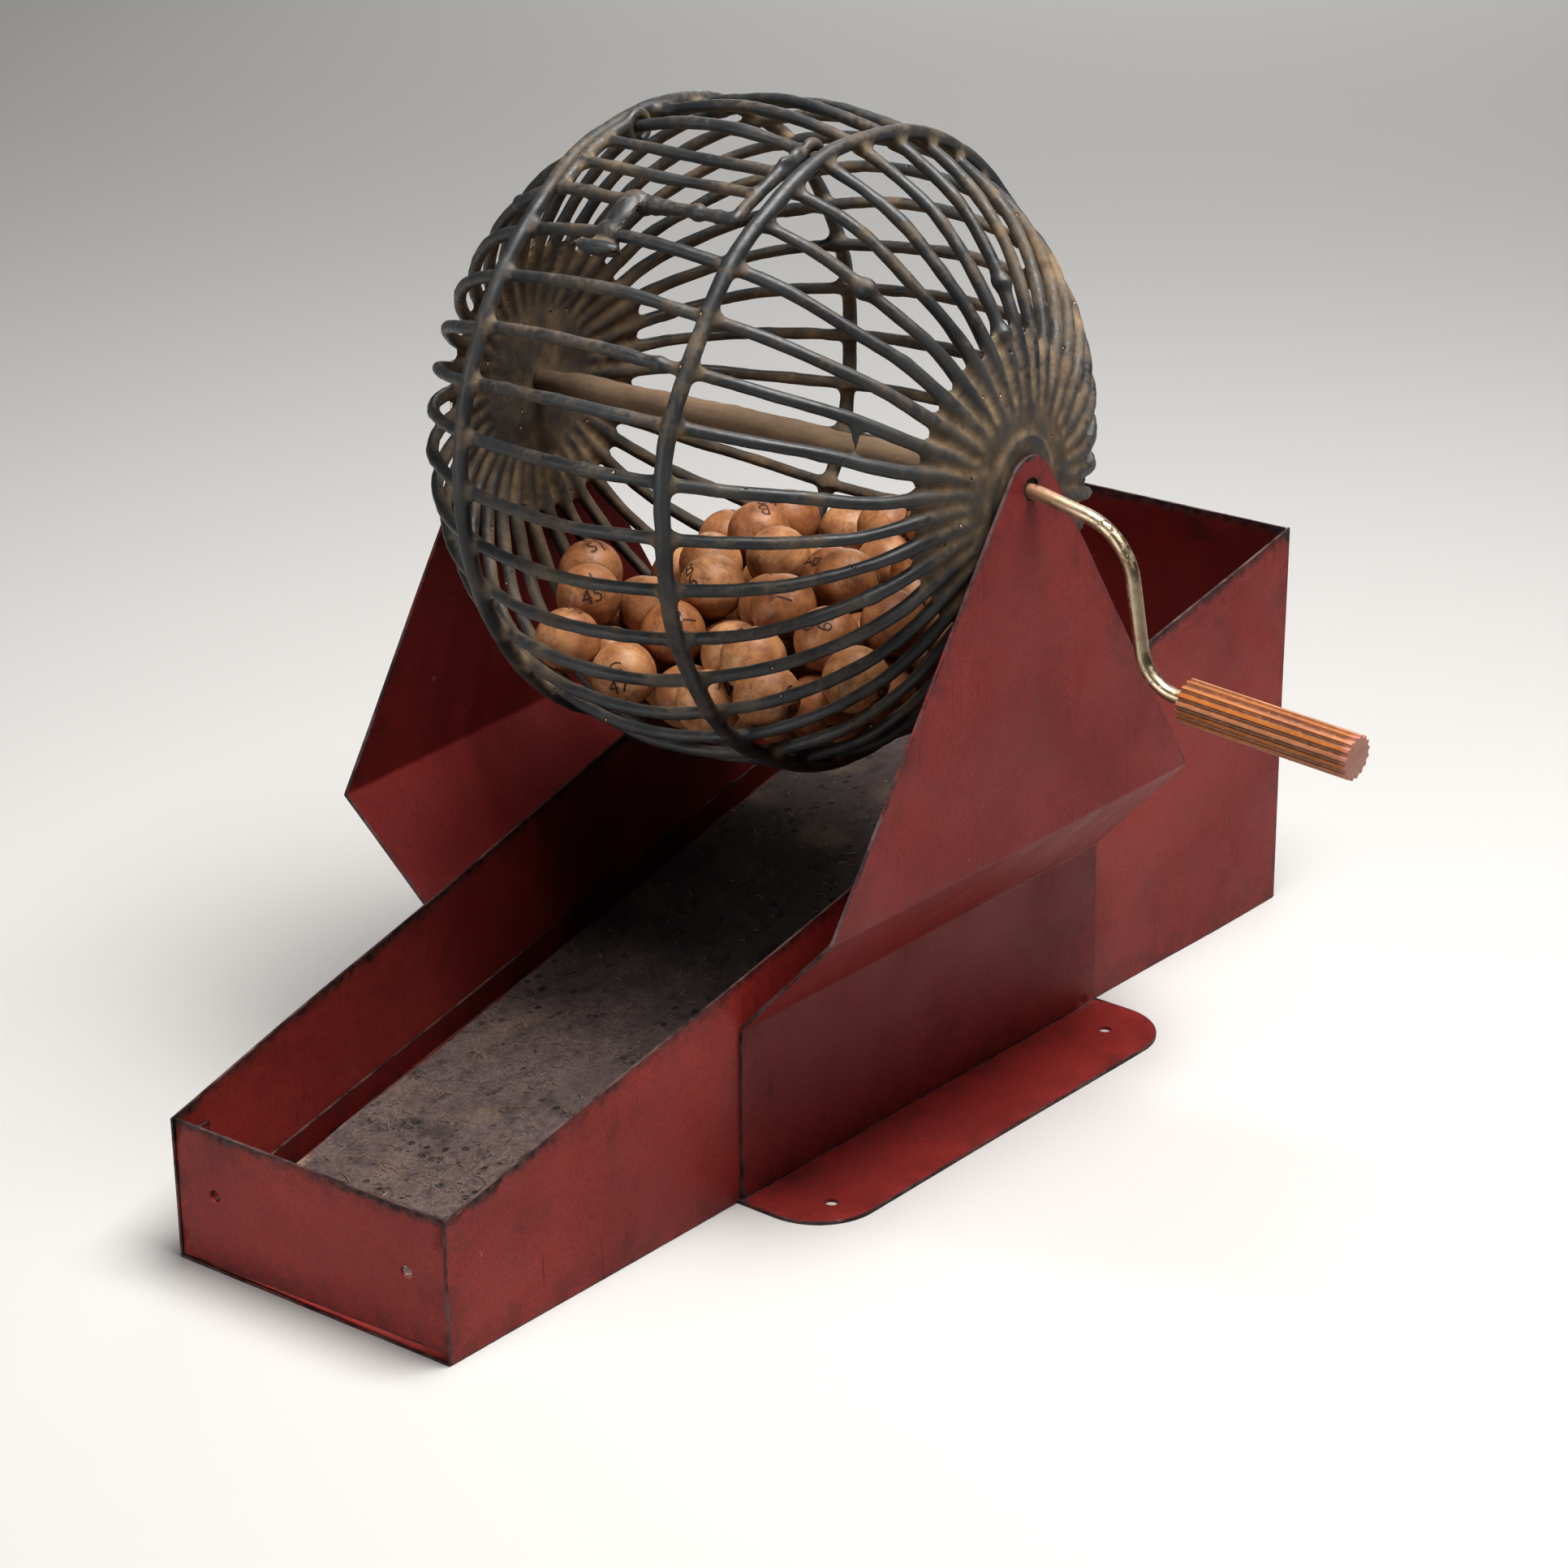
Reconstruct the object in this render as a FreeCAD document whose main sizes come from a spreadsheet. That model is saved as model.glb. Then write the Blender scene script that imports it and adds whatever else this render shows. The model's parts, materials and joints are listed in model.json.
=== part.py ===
"""Bingo cage: a crank-turned wire ball cage on a folded sheet-metal chute.

Row frame, in millimetres: +X runs along the axle towards the crank, +Y runs up the chute to
its tall back, and +Z is up. The origin is on the table, in the middle of the four foot holes.
"""
import FreeCAD
import Part
import math
import os
import random

import Sketcher

SIZES = {
    # chute: outside widths, distances from the axle, wall heights and sheet thickness
    "tray_front_width": 113.3,
    "tray_back_width": 146.2,
    "tray_front": 228.2,
    "tray_back": 213.3,
    "tray_front_height": 48.4,
    "tray_back_height": 145.4,
    "tray_sheet": 0.9,
    "tray_fold": 1.6,
    "plate_inset": 0.6,
    "plate_side_gap": 0.3,
    "front_gap_left": 0.4,
    "front_gap_right": 2.6,
    "front_tab_length": 14.0,
    "front_tab_low": 16.0,
    "front_tab_high": 42.0,
    "front_hole_spread": 79.8,
    "front_hole_height": 26.2,
    "front_hole_radius": 2.2,
    # sloping floor pan and its felt
    "pan_start": 5.5,
    "pan_length": 440.2,
    "pan_lift": 0.86,
    "pan_slope": 9.7,
    "pan_side_gap": 0.25,
    "pan_flange": 9.9,
    "felt_thickness": 2.4,
    "felt_inset": 1.2,
    "felt_end_gap": 2.0,
    # side supports, measured from the chute wall
    "support_sheet": 1.2,
    "support_out": 40.1,
    "ledge_low": 61.6,
    "ledge_angle": 46.5,
    "crease_height": 102.1,
    "plate_low_front": 94.8,
    "plate_low_back": 96.7,
    "crease_front": 97.3,
    "crease_back": 93.0,
    "apex_radius": 11.4,
    "bend_radius": 2.2,
    "axle_hole_radius": 3.5,
    "axle_hole_lift": 0.8,
    "foot_width": 37.6,
    "foot_front": 96.2,
    "foot_back": 98.6,
    "foot_corner": 22.0,
    "foot_hole_x": 86.5,
    "foot_hole_front": 79.05,
    "foot_hole_back": 79.05,
    "foot_hole_radius": 2.2,
    # cage wires, coated: a flat middle arc and two tighter end arcs
    "axle_height": 222.5,
    "rib_crown": 106.3,
    "rib_mid_radius": 115.0,
    "rib_turn": 26.0,
    "rib_end_radius": 86.5,
    "rib_wire": 1.9,
    "rib_rim": 23.6,
    "hoop_radius": 102.0,
    "hoop_wire": 2.4,
    "hoop_x": 40.6,
    "hub_radius": 26.0,
    "hub_inner_face": 96.4,
    "hub_outer_face": 100.6,
    "boss_radius": 16.5,
    "boss_face": 101.8,
    "tube_radius": 4.7,
    # crank rod and grip
    "rod_radius": 2.4,
    "rod_bore": 2.4,
    "rod_tail": 112.0,
    "crank_start": 108.0,
    "crank_knee_x": 141.2,
    "crank_knee_drop": 7.0,
    "crank_wrist_x": 149.3,
    "crank_wrist_drop": 54.9,
    "crank_tip_x": 216.0,
    "crank_tip_drop": 60.0,
    "crank_first_bend": 30.0,
    "crank_knee_bend": 22.0,
    "crank_wrist_bend": 15.0,
    "grip_start_x": 164.5,
    "grip_start_drop": 56.06,
    "grip_length": 60.4,
    "grip_radius": 7.2,
    "grip_bore_depth": 52.5,
    "flute_radius": 0.95,
    "flute_reach": 7.35,
    # door in the cage, hinged on one rib and clipped over another
    "door_side_x": 34.5,
    "door_radius": 104.1,
    "door_wire": 2.0,
    "eye_ring": 4.7,
    "eye_wire": 1.6,
    "clip_width": 8.0,
    "clip_sheet": 0.7,
    "clip_x": -4.0,
    "clip_bore": 2.2,
    "curl_bore": 1.7,
    "thumb_width": 16.0,
    "thumb_length": 5.0,
    # wooden balls
    "ball_radius": 10.9,
    "ball_reach": 101.2,
}

RIB_COUNT = 36
RIB_STEP = 360.0 / RIB_COUNT
HINGE_RIB_ANGLE = 101.0
CUT_RIB_ANGLES = (111.0, 121.0)
LATCH_RIB_ANGLE = 131.0
DOOR_BAR_ANGLES = {"door_bar_rear": 109.8, "door_bar_middle": 116.4}
DOOR_FRONT_ANGLE = 123.0
DOOR_SIDE_START = 103.3
HOOK_SWEEP = 95.0
CURL_SWEEP = 150.0
CLIP_LAP = 4.0
GRIP_FLUTES = 16

BALL_GROUPS = ("b", "i", "n", "g", "o")
BALLS_PER_GROUP = 15
HEAP_SEED = 7
HEAP_STEPS = 1500
HEAP_SPACING = 21.95
HEAP_PULL = (0.10, 0.17, -1.0)
HEAP_FALL = 0.45
EYE_ROOM = 0.6

TAPER = "atan((Size.tray_back_width - Size.tray_front_width) / 2 / (Size.tray_front + Size.tray_back))"
WALL_AT_AXLE = "(Size.tray_front_width / 2 + Size.tray_front * tan(%s))" % TAPER
LEDGE = "(Size.ledge_angle * 1 deg)"

doc = FreeCAD.newDocument("bingo_cage")
sheet = doc.addObject("Spreadsheet::Sheet", "Size")


def fill_sheet():
    """One row per size: its name in column A, its value and alias in column B."""
    for row, (name, value) in enumerate(SIZES.items(), start=1):
        sheet.set("A%d" % row, name)
        sheet.set("B%d" % row, repr(value))
        sheet.setAlias("B%d" % row, name)
    doc.recompute()


def number(expression):
    """Present value of an expression over the size sheet."""
    value = sheet.evalExpression(expression)
    return float(getattr(value, "Value", value))


# ---------------------------------------------------------------- sketch helpers


def new_body(name):
    body = doc.addObject("PartDesign::Body", name)
    body.Label = name
    return body


def new_sketch(body, name, role, offset=None):
    """A sketch on one of the body's own origin planes."""
    sketch = body.newObject("Sketcher::SketchObject", name)
    plane = [feature for feature in body.Origin.OriginFeatures if feature.Role == role][0]
    sketch.AttachmentSupport = [(plane, "")]
    sketch.MapMode = "FlatFace"
    if offset is not None:
        sketch.AttachmentOffset = FreeCAD.Placement(offset, FreeCAD.Rotation())
    return sketch


def bind(sketch, index, expression):
    sketch.setExpression("Constraints[%d]" % index, expression)


def pin(sketch, geometry, end, x=None, y=None):
    """Hold one point of a geometry at x and y from the sketch's origin."""
    for kind, expression in (("DistanceX", x), ("DistanceY", y)):
        if expression is not None:
            rule = Sketcher.Constraint(kind, -1, 1, geometry, end, number(expression))
            bind(sketch, sketch.addConstraint(rule), expression)


def vector(x, y):
    return FreeCAD.Vector(number(x), number(y), 0)


def polygon(sketch, corners):
    """Closed outline whose corners are pairs of expressions."""
    points = [vector(x, y) for x, y in corners]
    edges = []
    for index, start in enumerate(points):
        end = points[(index + 1) % len(points)]
        edges.append(sketch.addGeometry(Part.LineSegment(start, end), False))
    for index, edge in enumerate(edges):
        following = edges[(index + 1) % len(edges)]
        sketch.addConstraint(Sketcher.Constraint("Coincident", edge, 2, following, 1))
        pin(sketch, edge, 1, corners[index][0], corners[index][1])


def hold_radius(sketch, geometry, radius):
    rule = Sketcher.Constraint("Radius", geometry, number(radius))
    bind(sketch, sketch.addConstraint(rule), radius)


def circle(sketch, x, y, radius):
    curve = Part.Circle(vector(x, y), FreeCAD.Vector(0, 0, 1), number(radius))
    geometry = sketch.addGeometry(curve, False)
    pin(sketch, geometry, 3, x, y)
    hold_radius(sketch, geometry, radius)


def arc(sketch, x, y, radius, start, end):
    """Arc about x, y from angle start to angle end, all of them expressions."""
    centre = vector(x, y)
    angles = [math.radians(number("%s / 1 deg" % angle)) for angle in (start, end)]
    curve = Part.Circle(centre, FreeCAD.Vector(0, 0, 1), number(radius))
    geometry = sketch.addGeometry(Part.ArcOfCircle(curve, *angles), False)
    pin(sketch, geometry, 3, x, y)
    hold_radius(sketch, geometry, radius)
    for point, expression, angle in ((1, start, angles[0]), (2, end, angles[1])):
        if abs(math.sin(angle)) > abs(math.cos(angle)):
            pin(sketch, geometry, point, x="%s + %s * cos(%s)" % (x, radius, expression))
        else:
            pin(sketch, geometry, point, y="%s + %s * sin(%s)" % (y, radius, expression))


def bent_path(sketch, corners, radii):
    """Open path of straight runs through the corners, joined by tangent arcs."""
    points = [vector(x, y) for x, y in corners]
    marks = []
    for (x, y), point in zip(corners, points):
        mark = sketch.addGeometry(Part.Point(point), True)
        pin(sketch, mark, 1, x, y)
        marks.append(mark)
    starts, ends, arcs = [points[0]], [], []
    for index, radius in enumerate(radii, start=1):
        before = (points[index] - points[index - 1]).normalize()
        after = (points[index + 1] - points[index]).normalize()
        turn = before.getAngle(after)
        reach = number(radius) * math.tan(turn / 2)
        first, last = points[index] - before * reach, points[index] + after * reach
        centre_way = (after - before).normalize()
        middle = points[index] + centre_way * number(radius) * (1 / math.cos(turn / 2) - 1)
        ends.append(first)
        starts.append(last)
        arcs.append(sketch.addGeometry(Part.Arc(first, middle, last), False))
    ends.append(points[-1])
    lines = [sketch.addGeometry(Part.LineSegment(a, b), False) for a, b in zip(starts, ends)]
    sketch.addConstraint(Sketcher.Constraint("Coincident", lines[0], 1, marks[0], 1))
    sketch.addConstraint(Sketcher.Constraint("Coincident", lines[-1], 2, marks[-1], 1))
    for index, line in enumerate(lines):
        if index > 0:
            sketch.addConstraint(Sketcher.Constraint("PointOnObject", marks[index], 1, line))
        if index < len(lines) - 1:
            sketch.addConstraint(Sketcher.Constraint("PointOnObject", marks[index + 1], 1, line))
    for index, (bend, radius) in enumerate(zip(arcs, radii)):
        reversed_arc = (sketch.getPoint(bend, 1) - ends[index]).Length > 1e-4
        near, far = (2, 1) if reversed_arc else (1, 2)
        sketch.addConstraint(Sketcher.Constraint("Tangent", lines[index], 2, bend, near))
        sketch.addConstraint(Sketcher.Constraint("Tangent", bend, far, lines[index + 1], 1))
        hold_radius(sketch, bend, radius)


def pad(body, sketch, length, midplane=False, reverse=False):
    feature = body.newObject("PartDesign::Pad", sketch.Name + "_pad")
    feature.Profile = sketch
    feature.setExpression("Length", length)
    feature.Midplane = midplane
    feature.Reversed = reverse
    return feature


def pocket(body, sketch, length, midplane=False, reverse=False):
    """A pocket that has to remove something from the body."""
    doc.recompute()
    before = body.Shape.Volume
    feature = body.newObject("PartDesign::Pocket", sketch.Name + "_cut")
    feature.Profile = sketch
    feature.setExpression("Length", length)
    feature.Midplane = midplane
    feature.Reversed = reverse
    doc.recompute()
    if body.Shape.Volume > before - 0.5:
        raise RuntimeError("%s cuts nothing" % feature.Name)
    return feature


def pipe(body, profile, path):
    feature = body.newObject("PartDesign::AdditivePipe", path.Name + "_pipe")
    feature.Profile = profile
    doc.recompute()
    feature.Spine = (path, ["Edge%d" % (i + 1) for i in range(len(path.Shape.Edges))])
    return feature


def fillet_edges(body, radius, chosen):
    """Rounds the edges of the body's present shape that chosen() picks."""
    doc.recompute()
    tip = body.Tip
    names = ["Edge%d" % (i + 1) for i, edge in enumerate(tip.Shape.Edges) if chosen(edge)]
    if not names:
        raise RuntimeError("%s has no edge to round" % body.Label)
    feature = body.newObject("PartDesign::Fillet", body.Label + "_fillet")
    feature.Base = (tip, names)
    feature.setExpression("Radius", radius)
    return feature


def runs_along(edge, axis, length):
    """True for a straight edge along the axis that is at least the given length."""
    if edge.Curve.TypeId != "Part::GeomLine" or edge.Length < length:
        return False
    way = (edge.lastVertex().Point - edge.firstVertex().Point).normalize()
    return abs(way.dot(axis)) > 0.99


def repeat(body, feature, angle, count):
    """Turns a feature about the body's X axis, count times over the whole angle."""
    pattern = body.newObject("PartDesign::PolarPattern", feature.Name + "_pattern")
    pattern.Originals = [feature]
    axis = [item for item in body.Origin.OriginFeatures if item.Role == "X_Axis"][0]
    pattern.Axis = (axis, [""])
    pattern.Angle = angle
    pattern.Occurrences = count
    body.Tip = pattern
    return pattern


def at_axle(angle=0.0):
    """Placement on the axle, turned so that the local +Z way points at the angle."""
    turn = FreeCAD.Rotation(FreeCAD.Vector(1, 0, 0), angle - 90.0)
    return FreeCAD.Placement(FreeCAD.Vector(0, 0, number("Size.axle_height")), turn)


# ---------------------------------------------------------------- chute


def wall_half(y):
    """Expression for half the chute's outside width at a distance y behind the axle."""
    return "(%s + (%s) * tan(%s))" % (WALL_AT_AXLE, y, TAPER)


def trapezoid(front, back, inset, front_extra="0", back_extra="0"):
    """Plan outline between two Y expressions, inset from the chute's outside walls."""
    near = "(%s - %s)" % (front, front_extra)
    far = "(%s + %s)" % (back, back_extra)
    return [("-(%s - %s)" % (wall_half(near), inset), near), ("%s - %s" % (wall_half(near), inset), near),
            ("%s - %s" % (wall_half(far), inset), far), ("-(%s - %s)" % (wall_half(far), inset), far)]


def tray_shell():
    """Bottom and both side walls, folded from one sheet; the top slopes up to the back."""
    body = new_body("tray_shell")
    outline = new_sketch(body, "tray_outline", "XY_Plane")
    polygon(outline, trapezoid("-Size.tray_front", "Size.tray_back", "0"))
    pad(body, outline, "Size.tray_back_height")
    hollow = new_sketch(body, "tray_hollow", "XY_Plane", FreeCAD.Vector(0, 0, number("Size.tray_sheet")))
    polygon(hollow, trapezoid("-Size.tray_front", "Size.tray_back", "Size.tray_sheet", "5", "5"))
    pocket(body, hollow, "Size.tray_back_height", reverse=True)
    slope = new_sketch(body, "tray_slope", "YZ_Plane")
    rise = "(Size.tray_back_height - Size.tray_front_height) / (Size.tray_front + Size.tray_back)"
    polygon(slope, [("-Size.tray_front - 5", "Size.tray_front_height - 5 * %s" % rise),
                    ("Size.tray_back + 5", "Size.tray_back_height + 5 * %s" % rise),
                    ("-Size.tray_front - 5", "Size.tray_back_height + 10")])
    pocket(body, slope, "Size.tray_back_width * 2", midplane=True)

    def outer_fold(edge):
        low = edge.BoundBox.ZMax < 0.01
        return low and edge.Length > number("Size.tray_front")

    fillet_edges(body, "Size.tray_fold * 0.5", outer_fold)
    return body


def front_plate():
    """End plate with two holes, set between the walls on a tab at each side."""
    body = new_body("tray_front_plate")
    back = FreeCAD.Vector(0, 0, number("Size.tray_front - Size.plate_inset"))
    outline = new_sketch(body, "front_outline", "XZ_Plane", back)
    half = "(Size.tray_front_width / 2 - Size.tray_sheet - Size.plate_side_gap)"
    polygon(outline, [("-%s" % half, "Size.tray_sheet + Size.front_gap_left"),
                      (half, "Size.tray_sheet + Size.front_gap_right"),
                      (half, "Size.tray_front_height"), ("-%s" % half, "Size.tray_front_height")])
    pad(body, outline, "Size.tray_sheet", reverse=True)
    tabs = new_sketch(body, "front_tabs", "XZ_Plane", back)
    for side in ("-", ""):
        polygon(tabs, [("%s%s" % (side, half), "Size.front_tab_low"),
                       ("%s(%s - Size.tray_sheet)" % (side, half), "Size.front_tab_low"),
                       ("%s(%s - Size.tray_sheet)" % (side, half), "Size.front_tab_high"),
                       ("%s%s" % (side, half), "Size.front_tab_high")])
    pad(body, tabs, "Size.front_tab_length", reverse=True)
    holes = new_sketch(body, "front_holes", "XZ_Plane", back)
    for side in ("-", ""):
        across = side + "Size.front_hole_spread / 2"
        circle(holes, across, "Size.front_hole_height", "Size.front_hole_radius")
    pocket(body, holes, "Size.tray_sheet * 4", midplane=True)
    return body


def back_plate():
    """Tall end plate between the side walls."""
    body = new_body("tray_back_plate")
    place = FreeCAD.Vector(0, 0, -number("Size.tray_back - Size.plate_inset"))
    outline = new_sketch(body, "back_outline", "XZ_Plane", place)
    inside_face = wall_half("Size.tray_back - Size.plate_inset - Size.tray_sheet")
    inner = "%s - Size.tray_sheet - Size.plate_side_gap" % inside_face
    polygon(outline, [("-(%s)" % inner, "Size.tray_sheet"), (inner, "Size.tray_sheet"),
                      (inner, "Size.tray_back_height"), ("-(%s)" % inner, "Size.tray_back_height")])
    pad(body, outline, "Size.tray_sheet")
    return body


def pan_corners(front, back, inset):
    """Plan outline in the sloping floor's own plane, from its front edge."""
    edge = "(%s - (%s))" % (wall_half("-Size.tray_front + Size.pan_start"), inset)
    grow = "(tan(%s) * cos(Size.pan_slope * 1 deg))" % TAPER
    near = "(%s + (%s) * %s)" % (edge, front, grow)
    far = "(%s + (%s) * %s)" % (edge, back, grow)
    return [("-" + near, front), (near, front), (far, back), ("-" + far, back)]


def pan_placement(lift):
    """Placement of the sloping floor, lifted square to its own plane."""
    slope = number("Size.pan_slope")
    turn = FreeCAD.Rotation(FreeCAD.Vector(1, 0, 0), slope)
    start = number("-Size.tray_front + Size.pan_start")
    base = FreeCAD.Vector(0, start, number("Size.tray_sheet + Size.pan_lift"))
    return FreeCAD.Placement(base + turn.multVec(FreeCAD.Vector(0, 0, lift)), turn)


def floor_pan():
    """Sloping floor with an upturned flange along each side wall."""
    body = new_body("floor_pan")
    outline = new_sketch(body, "pan_outline", "XY_Plane")
    side = "Size.tray_sheet + Size.pan_side_gap"
    polygon(outline, pan_corners("0", "Size.pan_length", side))
    pad(body, outline, "Size.pan_flange")
    hollow = new_sketch(body, "pan_hollow", "XY_Plane", FreeCAD.Vector(0, 0, number("Size.tray_sheet")))
    polygon(hollow, pan_corners("-5", "Size.pan_length + 5", side + " + Size.tray_sheet"))
    pocket(body, hollow, "Size.pan_flange", reverse=True)
    body.Placement = pan_placement(0.0)
    return body


def felt_lining():
    """Felt sheet glued on the sloping floor between the flanges."""
    body = new_body("felt_lining")
    outline = new_sketch(body, "felt_outline", "XY_Plane")
    side = "2 * Size.tray_sheet + Size.pan_side_gap + Size.felt_inset"
    polygon(outline, pan_corners("Size.felt_end_gap", "Size.pan_length - Size.felt_end_gap", side))
    pad(body, outline, "Size.felt_thickness")
    body.Placement = pan_placement(number("Size.tray_sheet"))
    return body


# ---------------------------------------------------------------- supports


def bent_strip(body):
    """The support's sheet seen along the chute: wall plate, ledge and axle plate."""
    sketch = new_sketch(body, body.Label + "_strip", "XZ_Plane")
    top = "Size.axle_height + 40"
    rise = "tan(%s)" % LEDGE
    drop = "(Size.support_sheet / cos(%s))" % LEDGE
    inner = "(Size.support_out - Size.support_sheet)"
    polygon(sketch, [("0", "0"), ("Size.support_sheet", "0"),
                     ("Size.support_sheet", "Size.ledge_low + Size.support_sheet * %s - %s" % (rise, drop)),
                     ("Size.support_out", "Size.ledge_low + Size.support_out * %s - %s" % (rise, drop)),
                     ("Size.support_out", top), (inner, top),
                     (inner, "Size.ledge_low + %s * %s" % (inner, rise)), ("0", "Size.ledge_low")])
    return sketch


def round_apex(sketch, corners, centre):
    """Outline through the corners, closed over the top by tangents to the apex circle."""
    points = [vector(x, y) for x, y in corners]
    middle, radius = vector(*centre), number("Size.apex_radius")
    touches = []
    for corner in (points[0], points[-1]):
        reach = corner - middle
        lean = math.copysign(math.degrees(math.acos(radius / reach.Length)), reach.x)
        spin = FreeCAD.Rotation(FreeCAD.Vector(0, 0, 1), lean)
        touches.append(middle + spin.multVec(reach.normalize()) * radius)
    lines = [sketch.addGeometry(Part.LineSegment(a, b), False) for a, b in zip(points, points[1:])]
    rise = sketch.addGeometry(Part.LineSegment(touches[0], points[0]), False)
    fall = sketch.addGeometry(Part.LineSegment(points[-1], touches[1]), False)
    top = middle + FreeCAD.Vector(0, radius, 0)
    cap = sketch.addGeometry(Part.Arc(touches[0], top, touches[1]), False)
    chain = [rise] + lines + [fall]
    for one, other in zip(chain, chain[1:]):
        sketch.addConstraint(Sketcher.Constraint("Coincident", one, 2, other, 1))
    near, far = (1, 2) if (sketch.getPoint(cap, 1) - touches[0]).Length < 1e-4 else (2, 1)
    sketch.addConstraint(Sketcher.Constraint("Tangent", rise, 1, cap, near))
    sketch.addConstraint(Sketcher.Constraint("Tangent", fall, 2, cap, far))
    pin(sketch, cap, 3, *centre)
    hold_radius(sketch, cap, "Size.apex_radius")
    for line, (x, y) in zip(lines, corners):
        pin(sketch, line, 1, x, y)
    pin(sketch, lines[-1], 2, *corners[-1])


def outside_of_side_view(body, side):
    """Everything beyond the side view: a lower plate under a triangle with a round apex."""
    sketch = new_sketch(body, body.Label + "_side", "YZ_Plane")
    front, back = ("-", "") if side > 0 else ("", "-")
    lean = "%s(Size.support_out * tan(%s))" % (back, TAPER)
    centre = (lean, "Size.axle_height")
    round_apex(sketch, [(front + "Size.crease_front", "Size.crease_height"),
                        (front + "Size.plate_low_front", "Size.ledge_low"),
                        (front + "Size.plate_low_front", "-0.5"),
                        (back + "Size.plate_low_back", "-0.5"),
                        (back + "Size.plate_low_back", "Size.ledge_low"),
                        (back + "Size.crease_back", "Size.crease_height")], centre)
    far = "(Size.crease_front + 60)"
    polygon(sketch, [("-" + far, "-20"), (far, "-20"),
                     (far, "Size.axle_height + 60"), ("-" + far, "Size.axle_height + 60")])
    return sketch, centre


def foot_outline(body, side):
    """Foot flange in plan, against the chute wall, with its two outer corners rounded."""
    sketch = new_sketch(body, body.Label + "_foot", "XY_Plane")
    front = "-Size.foot_front" if side > 0 else "-Size.foot_back"
    back = "Size.foot_back" if side > 0 else "Size.foot_front"
    polygon(sketch, [("0", front), ("Size.foot_width", front), ("Size.foot_width", back), ("0", back)])
    return sketch


def support(name, side):
    """Bent-sheet side support: foot, wall plate, outward ledge and axle plate."""
    body = new_body(name)
    pad(body, bent_strip(body), "2 * Size.crease_front + 40", midplane=True)
    along = FreeCAD.Vector(0, 1, 0)
    bends = (number("Size.ledge_low"), number("Size.crease_height"))

    def bend_edge(edge):
        height = edge.CenterOfMass.z
        return runs_along(edge, along, 150) and min(abs(height - bend) for bend in bends) < 4

    fillet_edges(body, "Size.bend_radius", bend_edge)
    outside, axle = outside_of_side_view(body, side)
    pocket(body, outside, "Size.support_out * 4", midplane=True)
    pad(body, foot_outline(body, side), "Size.support_sheet")
    corner = number("Size.foot_width")

    def foot_corner(edge):
        outermost = abs(edge.CenterOfMass.x - corner) < 0.01
        return outermost and runs_along(edge, FreeCAD.Vector(0, 0, 1), 1.0) and edge.Length < 2

    fillet_edges(body, "Size.foot_corner", foot_corner)
    hole = new_sketch(body, name + "_axle_hole", "YZ_Plane")
    circle(hole, axle[0], axle[1] + " + Size.axle_hole_lift", "Size.axle_hole_radius")
    pocket(body, hole, "Size.support_out * 4", midplane=True)
    screws = new_sketch(body, name + "_foot_holes", "XY_Plane")
    reach = "(Size.foot_hole_x - %s)" % WALL_AT_AXLE
    sign = "" if side > 0 else "-"
    for along_wall in ("-Size.foot_hole_front", "Size.foot_hole_back"):
        out = "%s * cos(%s) - (%s) * sin(%s)" % (reach, TAPER, along_wall, TAPER)
        forward = "%s(%s * sin(%s) + (%s) * cos(%s))" % (sign, reach, TAPER, along_wall, TAPER)
        circle(screws, out, forward, "Size.foot_hole_radius")
    pocket(body, screws, "20", midplane=True)
    taper = number("%s / 1 deg" % TAPER)
    angle = -taper if side > 0 else 180.0 + taper
    turn = FreeCAD.Rotation(FreeCAD.Vector(0, 0, 1), angle)
    body.Placement = FreeCAD.Placement(FreeCAD.Vector(side * number(WALL_AT_AXLE), 0, 0), turn)
    return body


# ---------------------------------------------------------------- rod and grip


def crank_rod():
    """One round rod: axle through the cage, then the bent crank outside the support."""
    body = new_body("axle_crank_rod")
    path = new_sketch(body, "rod_path", "XZ_Plane")
    bent_path(path, [("-Size.rod_tail", "0"), ("Size.crank_start", "0"),
                     ("Size.crank_knee_x", "-Size.crank_knee_drop"),
                     ("Size.crank_wrist_x", "-Size.crank_wrist_drop"),
                     ("Size.crank_tip_x", "-Size.crank_tip_drop")],
              ["Size.crank_first_bend", "Size.crank_knee_bend", "Size.crank_wrist_bend"])
    section = new_sketch(body, "rod_section", "YZ_Plane", FreeCAD.Vector(0, 0, -number("Size.rod_tail")))
    circle(section, "0", "0", "Size.rod_radius")
    pipe(body, section, path)
    body.Placement = at_axle(90.0)
    return body


def crank_grip():
    """Fluted grip, closed at its outer end, driven onto the end of the rod."""
    body = new_body("crank_grip")
    round_bar = new_sketch(body, "grip_round", "YZ_Plane")
    circle(round_bar, "0", "0", "Size.grip_radius")
    pad(body, round_bar, "Size.grip_length")
    flute = new_sketch(body, "grip_flute", "YZ_Plane")
    circle(flute, "0", "Size.flute_reach", "Size.flute_radius")
    cut = pocket(body, flute, "Size.grip_length * 2", midplane=True)
    repeat(body, cut, 360.0, GRIP_FLUTES)
    bore = new_sketch(body, "grip_bore", "YZ_Plane")
    circle(bore, "0", "0", "Size.rod_bore")
    pocket(body, bore, "Size.grip_bore_depth", reverse=True)
    run = "(Size.crank_tip_x - Size.crank_wrist_x)"
    fall = "(Size.crank_tip_drop - Size.crank_wrist_drop)"
    turn = FreeCAD.Rotation(FreeCAD.Vector(0, 1, 0), number("atan(%s / %s) / 1 deg" % (fall, run)))
    base = FreeCAD.Vector(number("Size.grip_start_x"), 0,
                          number("Size.axle_height - Size.grip_start_drop"))
    body.Placement = FreeCAD.Placement(base, turn)
    return body


# ---------------------------------------------------------------- cage


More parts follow.
